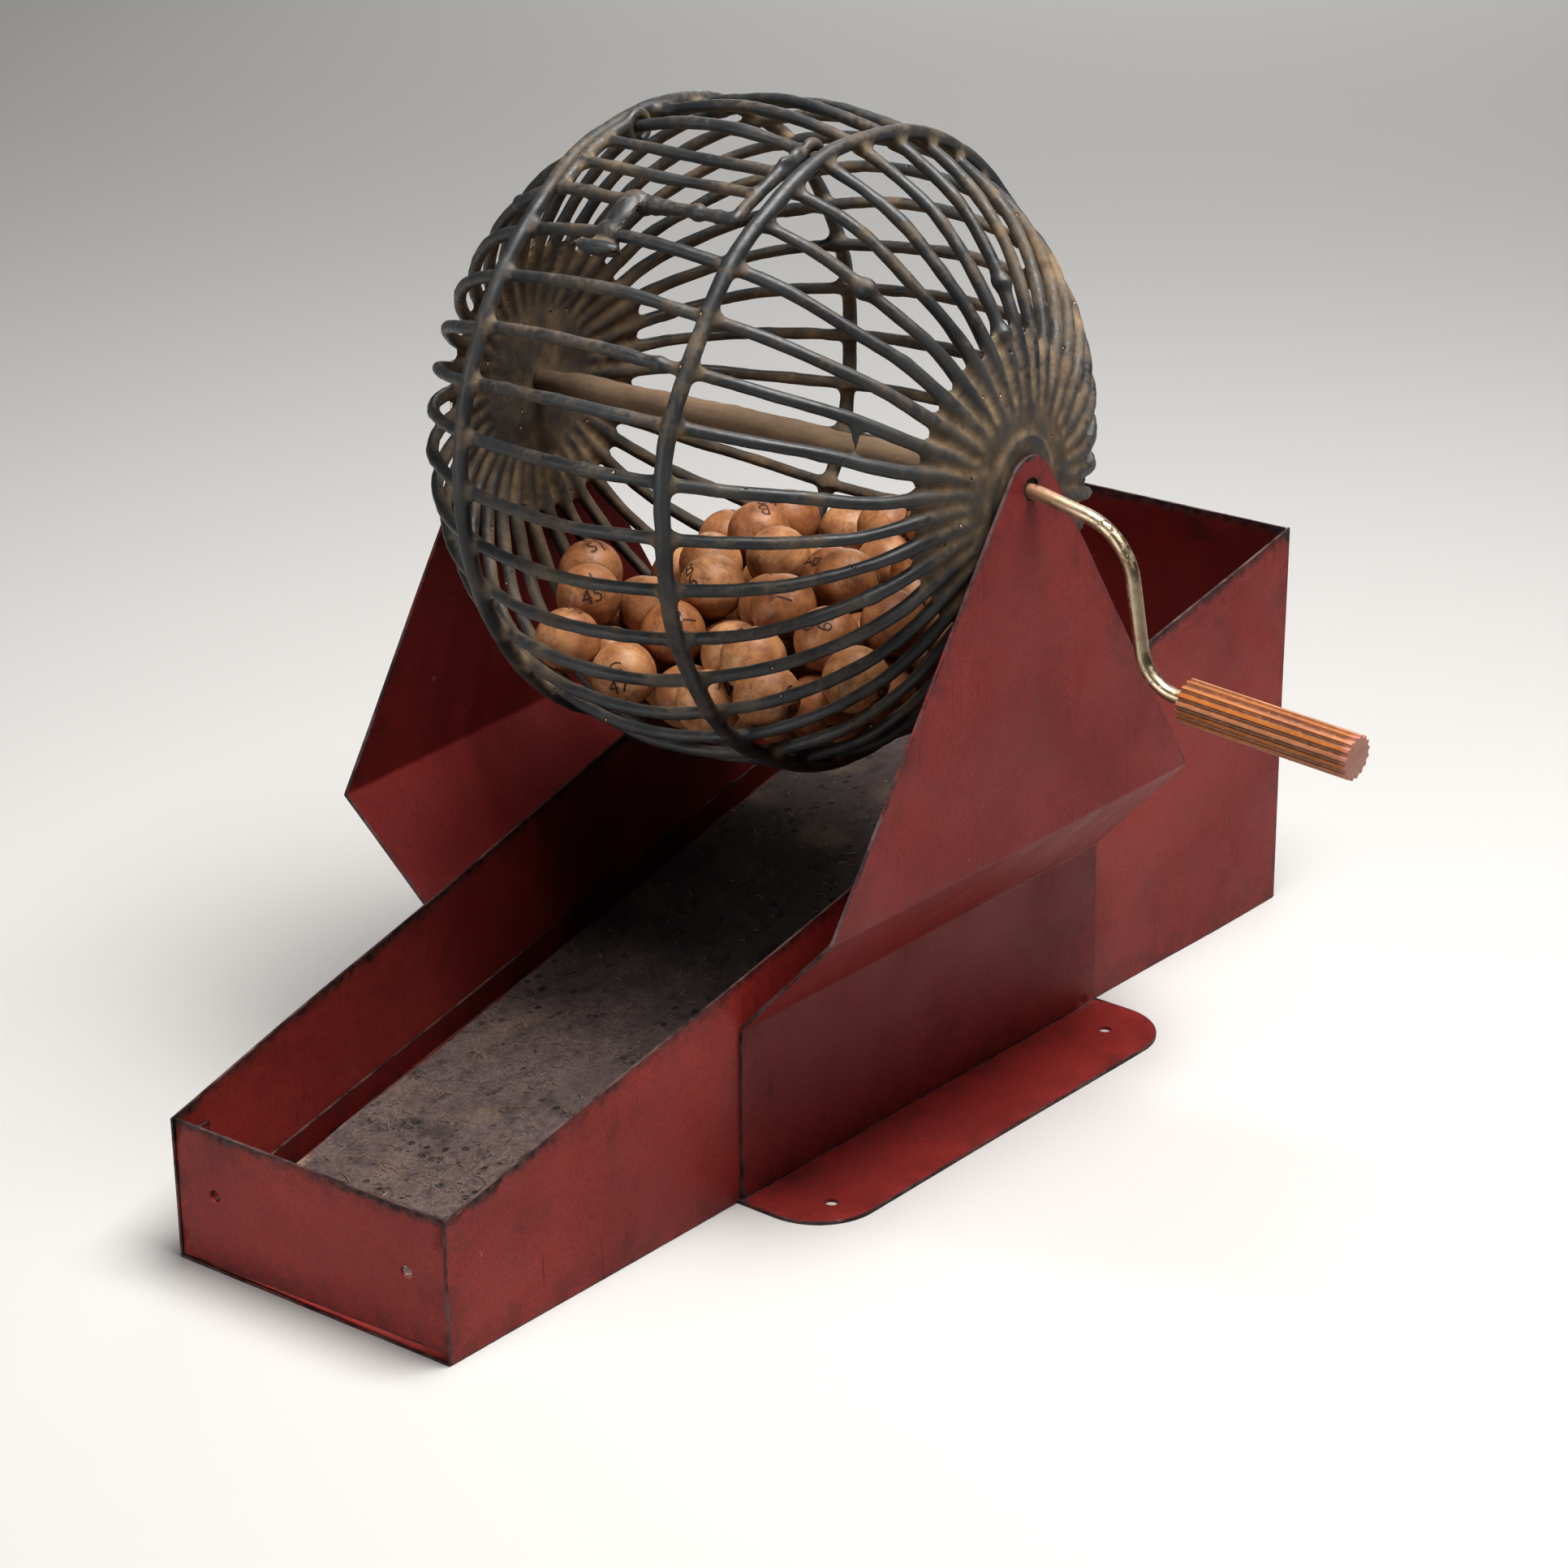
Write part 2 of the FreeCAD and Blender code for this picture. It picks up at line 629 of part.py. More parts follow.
def rib_arcs(sketch, spans):
    """Rib centre line in the plane of the axle: a middle arc and the two end arcs."""
    low = "(Size.rib_crown - Size.rib_mid_radius)"
    turn = "(Size.rib_turn * 1 deg)"
    shift = "(Size.rib_mid_radius - Size.rib_end_radius)"
    end_x = "(%s * sin(%s))" % (shift, turn)
    end_y = "(%s + %s * cos(%s))" % (low, shift, turn)
    rim = "asin((Size.rib_rim - %s) / Size.rib_end_radius)" % end_y
    hoop = "acos((Size.hoop_x) / Size.rib_mid_radius)"
    if spans == "whole":
        arc(sketch, "0", low, "Size.rib_mid_radius", "(90 deg - %s)" % turn, "(90 deg + %s)" % turn)
        arc(sketch, end_x, end_y, "Size.rib_end_radius", rim, "(90 deg - %s)" % turn)
        arc(sketch, "-" + end_x, end_y, "Size.rib_end_radius", "(90 deg + %s)" % turn,
            "(180 deg - %s)" % rim)
    else:
        arc(sketch, "0", low, "Size.rib_mid_radius", "(90 deg - %s)" % turn, hoop)
        arc(sketch, end_x, end_y, "Size.rib_end_radius", rim, "(90 deg - %s)" % turn)


def rib_section(body, spans):
    """Round section square to the rib's centre line, at its crown or where a short rib starts."""
    low = number("Size.rib_crown - Size.rib_mid_radius")
    bend = number("Size.rib_mid_radius")
    x = 0.0 if spans == "whole" else number("Size.hoop_x")
    lean = math.asin(x / bend)
    sketch = new_sketch(body, body.Label + "_section", "YZ_Plane")
    turn = FreeCAD.Rotation(FreeCAD.Vector(1, 0, 0), math.degrees(lean))
    sketch.AttachmentOffset = FreeCAD.Placement(FreeCAD.Vector(0, low + bend * math.cos(lean), x), turn)
    circle(sketch, "0", "0", "Size.rib_wire")
    return sketch


def rib_body(name, first_angle, count, spans="whole"):
    """Coated ribs at equal steps about the axle, from the first angle on."""
    body = new_body(name)
    path = new_sketch(body, name + "_path", "XZ_Plane")
    rib_arcs(path, spans)
    sweep = pipe(body, rib_section(body, spans), path)
    if count > 1:
        repeat(body, sweep, RIB_STEP * (count - 1), count)
    body.Placement = at_axle(first_angle)
    return body


def short_ribs(name, side):
    """The two ribs that stop at the hoop, beside the door, on one side of the cage."""
    body = rib_body(name, CUT_RIB_ANGLES[0], len(CUT_RIB_ANGLES), "hoop to rim")
    if side < 0:
        half_turn = FreeCAD.Rotation(FreeCAD.Vector(0, 0, 1), 180.0)
        step = FreeCAD.Rotation(FreeCAD.Vector(1, 0, 0), -RIB_STEP)
        turn = at_axle(CUT_RIB_ANGLES[0]).Rotation.multiply(half_turn).multiply(step)
        body.Placement = FreeCAD.Placement(body.Placement.Base, turn)
    return body


def hoop(name, side):
    ring = doc.addObject("Part::Torus", name)
    ring.Label = name
    ring.setExpression("Radius1", "Size.hoop_radius")
    ring.setExpression("Radius2", "Size.hoop_wire")
    turn = FreeCAD.Rotation(FreeCAD.Vector(0, 1, 0), 90.0)
    base = FreeCAD.Vector(side * number("Size.hoop_x"), 0, number("Size.axle_height"))
    ring.Placement = FreeCAD.Placement(base, turn)
    return ring


def hub(name, side):
    """Disc that gathers the rib ends, with a raised boss and a bore driven on the axle."""
    body = new_body(name)
    half = new_sketch(body, name + "_half", "XZ_Plane")
    polygon(half, [("Size.hub_inner_face", "Size.rod_radius"), ("Size.boss_face", "Size.rod_radius"),
                   ("Size.boss_face", "Size.boss_radius"), ("Size.hub_outer_face", "Size.boss_radius"),
                   ("Size.hub_outer_face", "Size.hub_radius"), ("Size.hub_inner_face", "Size.hub_radius")])
    turned = body.newObject("PartDesign::Revolution", name + "_turned")
    turned.Profile = half
    turned.ReferenceAxis = (half, ["H_Axis"])
    turned.Angle = 360.0
    flip = FreeCAD.Rotation(FreeCAD.Vector(0, 0, 1), 0.0 if side > 0 else 180.0)
    body.Placement = FreeCAD.Placement(FreeCAD.Vector(0, 0, number("Size.axle_height")), flip)
    return body


def cylinder(name, radius, length, placement):
    solid = doc.addObject("Part::Cylinder", name)
    solid.setExpression("Radius", radius)
    solid.setExpression("Height", length)
    solid.Placement = placement
    return solid


def along_x(x, y, z):
    """Placement that lays a cylinder's axis along +X, from a starting point."""
    return FreeCAD.Placement(FreeCAD.Vector(x, y, z), FreeCAD.Rotation(FreeCAD.Vector(0, 1, 0), 90.0))


def cut(name, base, tool):
    result = doc.addObject("Part::Cut", name)
    result.Label = name
    result.Base = base
    result.Tool = tool
    return result


def fuse(name, shapes):
    result = doc.addObject("Part::MultiFuse", name)
    result.Label = name
    result.Shapes = shapes
    return result


def axle_tube():
    """Coated spacer tube on the axle, between the two hubs."""
    start = along_x(-number("Size.hub_inner_face"), 0, number("Size.axle_height"))
    outside = cylinder("axle_tube_outside", "Size.tube_radius", "2 * Size.hub_inner_face", start)
    inside = cylinder("axle_tube_inside", "Size.rod_radius", "2 * Size.hub_inner_face", start)
    return cut("axle_tube", outside, inside)


# ---------------------------------------------------------------- door


def around(radius, angle, x=0.0):
    """Point at a radius and angle about the axle; the angle runs from +Y over the top."""
    turn = math.radians(angle)
    return FreeCAD.Vector(x, radius * math.cos(turn), number("Size.axle_height") + radius * math.sin(turn))


def across_axle(angle):
    """Turns a local Z axis onto the axle, with local X at the angle from +Y."""
    axes = [FreeCAD.Vector(0, 1, 0), FreeCAD.Vector(0, 0, 1), FreeCAD.Vector(1, 0, 0)]
    return FreeCAD.Rotation(FreeCAD.Vector(1, 0, 0), angle).multiply(FreeCAD.Rotation(*axes, "ZXY"))


def hinge_radius():
    """Distance from the axle to the hinge rib's centre line at the door's side wires."""
    bend = number("Size.rib_mid_radius")
    return number("Size.rib_crown") - bend + math.sqrt(bend ** 2 - number("Size.door_side_x") ** 2)


def door_side(name, side):
    """Side wire that follows the hoop from the hinge eye to the front corner."""
    wire = doc.addObject("Part::Torus", name)
    wire.setExpression("Radius1", "Size.door_radius")
    wire.setExpression("Radius2", "Size.door_wire")
    wire.Angle3 = DOOR_FRONT_ANGLE - DOOR_SIDE_START
    turn = across_axle(DOOR_SIDE_START)
    base = FreeCAD.Vector(side * number("Size.door_side_x"), 0, number("Size.axle_height"))
    wire.Placement = FreeCAD.Placement(base, turn)
    return wire


def door_bar(name, angle):
    """Straight bar across the door between its side wires."""
    reach = number("Size.door_side_x")
    start = around(number("Size.door_radius"), angle, -reach)
    return cylinder(name, "Size.door_wire", "2 * Size.door_side_x", along_x(start.x, start.y, start.z))


def door_frame():
    """Side wires, front wire and the two eyes that turn on the hinge rib."""
    pieces = []
    for side, word in ((-1, "left"), (1, "right")):
        x = side * number("Size.door_side_x")
        eye = doc.addObject("Part::Torus", "door_eye_" + word)
        eye.setExpression("Radius1", "Size.eye_ring")
        eye.setExpression("Radius2", "Size.eye_wire")
        place = around(hinge_radius(), HINGE_RIB_ANGLE, x)
        eye.Placement = FreeCAD.Placement(place, FreeCAD.Rotation(FreeCAD.Vector(0, 1, 0), 90.0))
        corner = doc.addObject("Part::Sphere", "door_corner_" + word)
        corner.setExpression("Radius", "Size.door_wire")
        corner.Placement.Base = around(number("Size.door_radius"), DOOR_FRONT_ANGLE, x)
        pieces += [eye, corner, door_side("door_side_" + word, side)]
    pieces.append(door_bar("door_front_wire", DOOR_FRONT_ANGLE))
    return fuse("door_frame", pieces)


def clip_part(kind, name, place, sizes):
    """One primitive of the clip, placed in the door front wire's own frame."""
    solid = doc.addObject(kind, name)
    for key, expression in sizes.items():
        solid.setExpression(key, expression)
    lay = FreeCAD.Rotation(FreeCAD.Vector(1, 0, 0), DOOR_FRONT_ANGLE - 90.0)
    frame = FreeCAD.Placement(around(number("Size.door_radius"), DOOR_FRONT_ANGLE), lay)
    solid.Placement = frame.multiply(place)
    return solid


def clip_ring(name, centre, bore, start, sweep):
    """Part of a ring of clip sheet about a centre in the clip's own frame."""
    place = FreeCAD.Placement(centre, across_axle(start))
    rings = []
    for word, radius in (("outside", bore + " + Size.clip_sheet"), ("inside", bore)):
        part = clip_part("Part::Cylinder", "%s_%s" % (name, word), place,
                         {"Radius": radius, "Height": "Size.clip_width"})
        part.Angle = sweep
        rings.append(part)
    return cut(name, rings[0], rings[1])


def clip_plate(name, corner, angle, width, run, rise):
    """Flat length of clip sheet whose local Y points at an angle in the clip's frame."""
    turn = FreeCAD.Rotation(FreeCAD.Vector(1, 0, 0), angle)
    place = FreeCAD.Placement(corner, turn)
    return clip_part("Part::Box", name, place, {"Length": width, "Width": run, "Height": rise})


def latch_clip():
    """Strip clip: looped on the door's front wire, hooked over the latch rib, curled to a tab."""
    crown, sheet_t = number("Size.rib_crown"), number("Size.clip_sheet")
    bore, curl = number("Size.clip_bore"), number("Size.curl_bore")
    swing = math.radians(LATCH_RIB_ANGLE - DOOR_FRONT_ANGLE)
    left = number("Size.clip_x - Size.clip_width / 2")
    rib_height = crown * math.cos(swing) - number("Size.door_radius")
    rib = FreeCAD.Vector(left, -crown * math.sin(swing), rib_height)
    lean = math.degrees(math.atan2(rib.z, -rib.y))
    loop = clip_ring("clip_loop", FreeCAD.Vector(left, 0, 0), "Size.clip_bore", 0.0, 360.0)
    facing = 90.0 - lean + HOOK_SWEEP
    hook = clip_ring("clip_hook", rib, "Size.clip_bore", 90.0 - lean - CLIP_LAP, HOOK_SWEEP + 2 * CLIP_LAP)
    way = FreeCAD.Rotation(FreeCAD.Vector(1, 0, 0), facing)
    bend = rib + way.multVec(FreeCAD.Vector(0, bore + sheet_t + curl, 0))
    curl_start = facing + 180.0 - CURL_SWEEP
    curled = clip_ring("clip_curl", bend, "Size.curl_bore", curl_start, CURL_SWEEP)
    tilt = FreeCAD.Rotation(FreeCAD.Vector(1, 0, 0), 180.0 - lean)
    top = FreeCAD.Vector(left, 0, 0) + tilt.multVec(FreeCAD.Vector(0, 0, -bore - sheet_t))
    strap = clip_plate("clip_strap", top, 180.0 - lean, "Size.clip_width",
                       "%.4f" % math.hypot(rib.y, rib.z), "Size.clip_sheet")
    rise = FreeCAD.Rotation(FreeCAD.Vector(1, 0, 0), curl_start)
    foot = bend + rise.multVec(FreeCAD.Vector(0, curl, -number("Size.thumb_length")))
    foot.x = number("Size.clip_x - Size.thumb_width / 2")
    thumb = clip_plate("clip_thumb", foot, curl_start, "Size.thumb_width", "Size.clip_sheet",
                       "Size.thumb_length")
    return fuse("latch_clip", [loop, hook, strap, curled, thumb])


# ---------------------------------------------------------------- balls


def inner_reach(x):
    """Largest distance from the axle for a ball's centre, at a place along the axle."""
    bend, turn = number("Size.rib_mid_radius"), math.radians(number("Size.rib_turn"))
    end = number("Size.rib_end_radius")
    low = number("Size.rib_crown") - bend
    side_x, side_y = (bend - end) * math.sin(turn), low + (bend - end) * math.cos(turn)
    if abs(x) < bend * math.sin(turn):
        return low, 0.0, bend
    return side_y, math.copysign(side_x, x), end


def keep_inside(ball, margin, reach):
    """Moves a ball's centre back inside the ribs and inside the circle the door needs."""
    across = math.hypot(ball[1], ball[2])
    if across > reach:
        ball[1] *= reach / across
        ball[2] *= reach / across
        across = reach
    low, mid, bend = inner_reach(ball[0])
    out = math.hypot(ball[0] - mid, across - low)
    limit = bend - margin
    if out <= limit:
        return
    scale = limit / out
    ball[0] = mid + (ball[0] - mid) * scale
    wanted = low + (across - low) * scale
    ball[1] *= wanted / across
    ball[2] *= wanted / across


def clear_of_eyes(ball):
    """Moves a ball's centre inward from the circles the door's hinge eyes run round."""
    ring = hinge_radius() - number("Size.eye_ring")
    room = number("Size.ball_radius + Size.eye_wire") + EYE_ROOM
    off = abs(ball[0]) - number("Size.door_side_x")
    across = math.hypot(ball[1], ball[2])
    if abs(off) < room and across > ring - math.sqrt(room ** 2 - off ** 2):
        scale = (ring - math.sqrt(room ** 2 - off ** 2)) / across
        ball[1] *= scale
        ball[2] *= scale


def settle_heap(count):
    """Lets a loose cloud of balls settle under a pull, and gives their centres."""
    draw = random.Random(HEAP_SEED)
    margin = number("Size.rib_wire") + HEAP_SPACING / 2
    reach = number("Size.ball_reach") - HEAP_SPACING / 2
    balls = [[draw.uniform(-60, 60), draw.uniform(-50, 50), draw.uniform(-85, -15)] for _ in range(count)]
    for step in range(HEAP_STEPS):
        pull = HEAP_FALL * max(0.0, 1.0 - 1.15 * step / HEAP_STEPS)
        for ball in balls:
            for axis in range(3):
                ball[axis] += HEAP_PULL[axis] * pull
        push_apart(balls)
        for ball in balls:
            keep_inside(ball, margin, reach)
            clear_of_eyes(ball)
    return balls


def push_apart(balls):
    """Separates each pair of balls that is closer than the spacing."""
    for index, one in enumerate(balls):
        for other in balls[index + 1:]:
            gap = [other[axis] - one[axis] for axis in range(3)]
            if abs(gap[0]) > HEAP_SPACING or abs(gap[1]) > HEAP_SPACING or abs(gap[2]) > HEAP_SPACING:
                continue
            apart = math.sqrt(sum(value * value for value in gap))
            if apart < HEAP_SPACING:
                shift = (HEAP_SPACING - apart) / 2 / apart
                for axis in range(3):
                    one[axis] -= gap[axis] * shift
                    other[axis] += gap[axis] * shift


def ball_groups():
    """Five groups of fifteen balls, dealt from the settled heap."""
    centres = settle_heap(len(BALL_GROUPS) * BALLS_PER_GROUP)
    groups = []
    for index, letter in enumerate(BALL_GROUPS):
        spheres = []
        for number_in_group, centre in enumerate(centres[index::len(BALL_GROUPS)]):
            ball = doc.addObject("Part::Sphere", "ball_%s_%d" % (letter, number_in_group + 1))
            ball.setExpression("Radius", "Size.ball_radius")
            ball.Placement.Base = FreeCAD.Vector(centre[0], centre[1], centre[2] + SIZES["axle_height"])
            spheres.append(ball)
        group = doc.addObject("Part::Compound", "balls_" + letter)
        group.Label = "balls_" + letter
        group.Links = spheres
        groups.append(group)
    return groups


# ---------------------------------------------------------------- build and write


def build_all():
    full_ribs = RIB_COUNT - 2 - len(CUT_RIB_ANGLES)
    nodes = [tray_shell(), front_plate(), back_plate(), floor_pan(), felt_lining(),
             support("support_left", -1), support("support_right", 1),
             crank_rod(), crank_grip(), hub("hub_left", -1), hub("hub_right", 1),
             hoop("hoop_left", -1), hoop("hoop_right", 1), axle_tube(),
             rib_body("cage_ribs", LATCH_RIB_ANGLE + RIB_STEP, full_ribs),
             rib_body("hinge_rib", HINGE_RIB_ANGLE, 1), rib_body("latch_rib", LATCH_RIB_ANGLE, 1),
             short_ribs("short_ribs_left", -1), short_ribs("short_ribs_right", 1),
             door_frame()]
    nodes += [door_bar(name, angle) for name, angle in DOOR_BAR_ANGLES.items()]
    nodes.append(latch_clip())
    nodes += ball_groups()
    return nodes


def check(nodes):
    """Stops before writing if any object failed or any sub-part has no sound shape."""
    for item in doc.Objects:
        if "Invalid" in item.State or "Error" in item.State:
            raise RuntimeError("%s is in state %s" % (item.Name, item.State))
    for node in nodes:
        if node.Shape.isNull() or not node.Shape.isValid() or not node.Shape.Solids:
            raise RuntimeError("%s has no valid solid" % node.Label)


def write(nodes):
    os.makedirs("parts", exist_ok=True)
    for node in nodes:
        node.Shape.exportStep("parts/%s.step" % node.Label)
        box = node.Shape.BoundBox
        print("%-18s %3d solids %10.1f mm3  x %.1f..%.1f y %.1f..%.1f z %.1f..%.1f" % (
            node.Label, len(node.Shape.Solids), node.Shape.Volume,
            box.XMin, box.XMax, box.YMin, box.YMax, box.ZMin, box.ZMax))


fill_sheet()
all_nodes = build_all()
doc.recompute()
check(all_nodes)
write(all_nodes)
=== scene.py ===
"""Bingo cage: the looks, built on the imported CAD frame. Every length is in metres."""

import math

import bmesh
import bpy
import json
import numpy as np
from mathutils import Matrix, Vector


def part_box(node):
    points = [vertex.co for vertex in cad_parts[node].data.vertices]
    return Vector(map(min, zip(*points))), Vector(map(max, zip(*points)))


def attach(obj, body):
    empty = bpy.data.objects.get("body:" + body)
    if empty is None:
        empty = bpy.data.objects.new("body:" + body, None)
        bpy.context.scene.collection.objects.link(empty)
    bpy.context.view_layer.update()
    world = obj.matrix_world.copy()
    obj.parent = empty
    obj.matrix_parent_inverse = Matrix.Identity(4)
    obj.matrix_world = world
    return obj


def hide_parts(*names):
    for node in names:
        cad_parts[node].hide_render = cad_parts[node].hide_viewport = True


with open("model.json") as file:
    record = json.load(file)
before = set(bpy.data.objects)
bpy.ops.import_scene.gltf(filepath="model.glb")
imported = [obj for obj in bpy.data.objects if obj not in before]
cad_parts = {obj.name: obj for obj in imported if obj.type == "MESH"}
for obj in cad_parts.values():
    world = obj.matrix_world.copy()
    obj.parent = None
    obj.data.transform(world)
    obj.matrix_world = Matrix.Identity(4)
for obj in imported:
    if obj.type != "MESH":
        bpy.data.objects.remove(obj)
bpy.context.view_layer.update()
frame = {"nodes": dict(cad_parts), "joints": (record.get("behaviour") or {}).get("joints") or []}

MM = 0.001
MARK_PITCH = 1.0 * MM
AXLE = next(joint for joint in frame["joints"] if joint["name"] == "crank_spin")["pos_m"][2]

WELD = 2e-6
SHARP = math.radians(35)

# The cage as in the CAD, in mm and degrees. A rib has a flat middle arc (centre radius, arc radius, half
# angle) and two tighter end arcs (centre x, centre radius, arc radius). WIRE is a coated wire's radius.
RIB_MID = (-8.7, 115.0, math.radians(26.0))
RIB_END = (12.5, 16.9, 86.5)
WIRE = 1.9
RIB_STEP = 10.0
RIB_ANGLES = [1.0 + RIB_STEP * k for k in range(36)]
CUT_RIBS = (111.0, 121.0)
HOOP_X = 40.6
DOOR_RADIUS, DOOR_SIDE, DOOR_FRONT = 104.1, 34.0, 123.0

# Angle, x and radius of single lumps on the ribs, and angle, radius, x and size of the clip's bulges.
RIB_LUMPS = (
    (91, -50, 3.6), (91, -36, 3.0), (121, 71, 3.5), (121, -60, 2.9), (151, 30, 2.7), (81, 86, 3.0),
    (91, 93, 3.1), (101, 31, 2.9), (211, -20, 2.7), (171, 12, 2.6), (251, 40, 2.9), (301, -55, 2.8),
    (21, 52, 2.8), (331, 18, 2.7),
)
CLIP_BULGES = (
    (123.3, 105.8, -3.8, (4.3, 3.2, 2.4)), (127.2, 107.2, -4.3, (3.6, 8.0, 1.7)),
    (131.4, 107.4, -4.0, (4.5, 3.6, 2.7)), (133.6, 104.8, -3.6, (4.4, 1.7, 3.6)),
    (123.4, 103.6, -0.6, (3.0, 2.8, 2.8)),
)

# The sleeve's half length, and the height of the chute's top edge at its front and rear, in metres.
SLEEVE_HALF = 0.0964
CHUTE_FRONT_TOP, CHUTE_REAR_TOP = 0.0484, 0.1454

# Name, place, target, size, power and colour of each soft light.
WHITE = (1.0, 1.0, 1.0)
LIGHTS = (
    ("key", (0.30, 0.04, 1.27), (0.0, -0.05, 0.1), (0.78, 0.78), 31.0, (1.0, 0.985, 0.965)),
    ("fill", (-0.55, -2.0, 0.5), (0.0, -0.05, 0.1), (1.4, 1.0), 14.5, WHITE),
    ("rear_fill", (-1.1, 1.9, 0.8), (0.0, 0.05, 0.12), (1.2, 1.0), 8.0, WHITE),
    ("backdrop", (-0.6, 1.9, 1.9), (-0.8, 3.2, 0.0), (2.4, 1.0), 8.0, WHITE),
    ("backdrop_left", (-2.2, -0.44, 1.9), (-3.6, -0.72, 0.0), (2.4, 1.4), 2.5, WHITE),
    ("backdrop_right", (2.2, 0.44, 1.9), (3.6, 0.72, 0.0), (2.4, 1.4), 9.0, WHITE),
    ("backdrop_front", (0.44, -2.64, 1.9), (0.72, -4.32, 0.0), (2.4, 1.4), 22.0, WHITE),
)

# Light that the world gives, and what shows of it behind the floor. The floor glows beyond the first of
# two distances from its middle, fully at the second, so that low views don't end in the dark.
WORLD_GLOW = (0.01, 0.46)
FLOOR_MIDDLE, FAR_FLOOR, FLOOR_GLOW = (-0.21, 0.28, 0.0), (1.55, 2.7), 0.42


# ---- mesh helpers


def read_vectors(items, key):
    flat = np.empty(len(items) * 3)
    items.foreach_get(key, flat)
    return flat.reshape(-1, 3)


def mesh_points(mesh):
    """Vertex positions of a mesh as an array."""
    return read_vectors(mesh.vertices, "co")


def set_points(mesh, points):
    mesh.vertices.foreach_set("co", np.ascontiguousarray(points, dtype=np.float32).ravel())
    mesh.update()


def mesh_normals(mesh):
    return read_vectors(mesh.vertex_normals, "vector")


def welded_copy(mesh, distance):
    """An editable copy of a mesh with its doubled vertices merged."""
    welded = bmesh.new()
    welded.from_mesh(mesh)
    bmesh.ops.remove_doubles(welded, verts=welded.verts, dist=distance)
    return welded


def link(piece):
    bpy.context.scene.collection.objects.link(piece)


def add_object(name, mesh, smooth=True):
    """Links a new mesh object, smooth shaded or with sharp edges over 35 degrees."""
    piece = bpy.data.objects.new(name, mesh)
    link(piece)
    mesh.shade_smooth()
    if not smooth:
        mesh.set_sharp_from_angle(angle=SHARP)
    return piece


def from_arrays(name, points, faces, smooth=True):
    mesh = bpy.data.meshes.new(name)
    mesh.from_pydata([tuple(p) for p in points], [], [tuple(f) for f in faces])
    mesh.validate()
    return add_object(name, mesh, smooth)


def point_layer(mesh, name, values):
    """Stores a number or a vector at each point, for the materials."""
    kind, key = ("FLOAT", "value") if values.ndim == 1 else ("FLOAT_VECTOR", "vector")
    layer = mesh.attributes.new(name, kind, "POINT")
    layer.data.foreach_set(key, np.ascontiguousarray(values, dtype=np.float32).ravel())


def waves(points, wavelength, seed, count=20):
    """Smooth random field of about unit size, from plane waves near one wavelength."""
    rng = np.random.default_rng(seed)
    total = np.zeros(len(points))
    for _ in range(count):
        way = rng.normal(size=3)
        way *= 2 * math.pi / (wavelength * rng.uniform(0.75, 1.6) * np.linalg.norm(way))
        total += np.sin(points @ way + rng.uniform(0, 2 * math.pi))
    return total * math.sqrt(2.0 / count)


def vector_waves(points, wavelength, seed):
    return np.stack([waves(points, wavelength, seed + axis) for axis in range(3)], axis=1)


def blend_step(low, high, values):
    t = np.clip((values - low) / (high - low), 0, 1)
    return t * t * (3 - 2 * t)


def evaluated(piece):
    """Replaces an object's mesh by the result of its modifiers."""
    graph = bpy.context.evaluated_depsgraph_get()
    mesh = bpy.data.meshes.new_from_object(piece.evaluated_get(graph))
    piece.modifiers.clear()
    old = piece.data
    piece.data = mesh
    bpy.data.meshes.remove(old)
    return mesh


def slab_faces(rows, columns):
    """Faces of a closed slab: one grid of points, the same grid again for its other side, and a border."""
    size = rows * columns
    faces = []
    for i in range(rows - 1):
        for j in range(columns - 1):
            a, b = i * columns + j, (i + 1) * columns + j
            faces.append((a, a + 1, b + 1, b))
            faces.append((size + a, size + b, size + b + 1, size + a + 1))
    border = [i * columns for i in range(rows)]
    border += [(rows - 1) * columns + j for j in range(1, columns)]
    border += [i * columns + columns - 1 for i in range(rows - 2, -1, -1)]
    border += range(columns - 2, 0, -1)
    for a, b in zip(border, border[1:] + border[:1]):
        faces.append((a, b, b + size, a + size))
    return faces


def remeshed(piece, voxel):
    """Adds a voxel remesh to a piece."""
    remesh = piece.modifiers.new("remesh", "REMESH")
    remesh.mode, remesh.voxel_size, remesh.use_smooth_shade = "VOXEL", voxel, True


def hollow(mesh, rounds, top):
    """How concave the surface is at each vertex, from -1 to 1, reached at a top percentile of its bends."""
    edges = np.empty(len(mesh.edges) * 2, dtype=np.int64)
    mesh.edges.foreach_get("vertices", edges)
    a, b = edges[0::2], edges[1::2]
    points, normals = mesh_points(mesh), mesh_normals(mesh)
    count = np.maximum(np.bincount(a, minlength=len(points)) + np.bincount(b, minlength=len(points)), 1)

    def average(values):
        return (np.bincount(a, values[b], len(points)) + np.bincount(b, values[a], len(points))) / count

    mean = np.stack([average(points[:, axis]) for axis in range(3)], axis=1)
    bend = np.einsum("ij,ij->i", mean - points, normals)
    for _ in range(rounds):
        bend = 0.4 * bend + 0.6 * average(bend)
    return np.clip(bend / np.percentile(np.abs(bend), top), -1, 1)


# ---- materials


def rgb(*values):
    """Scene-linear colour of an sRGB colour given as 0 to 255."""
    shares = [value / 255.0 for value in values]
    return (*(v / 12.92 if v <= 0.04045 else ((v + 0.055) / 1.055) ** 2.4 for v in shares), 1.0)


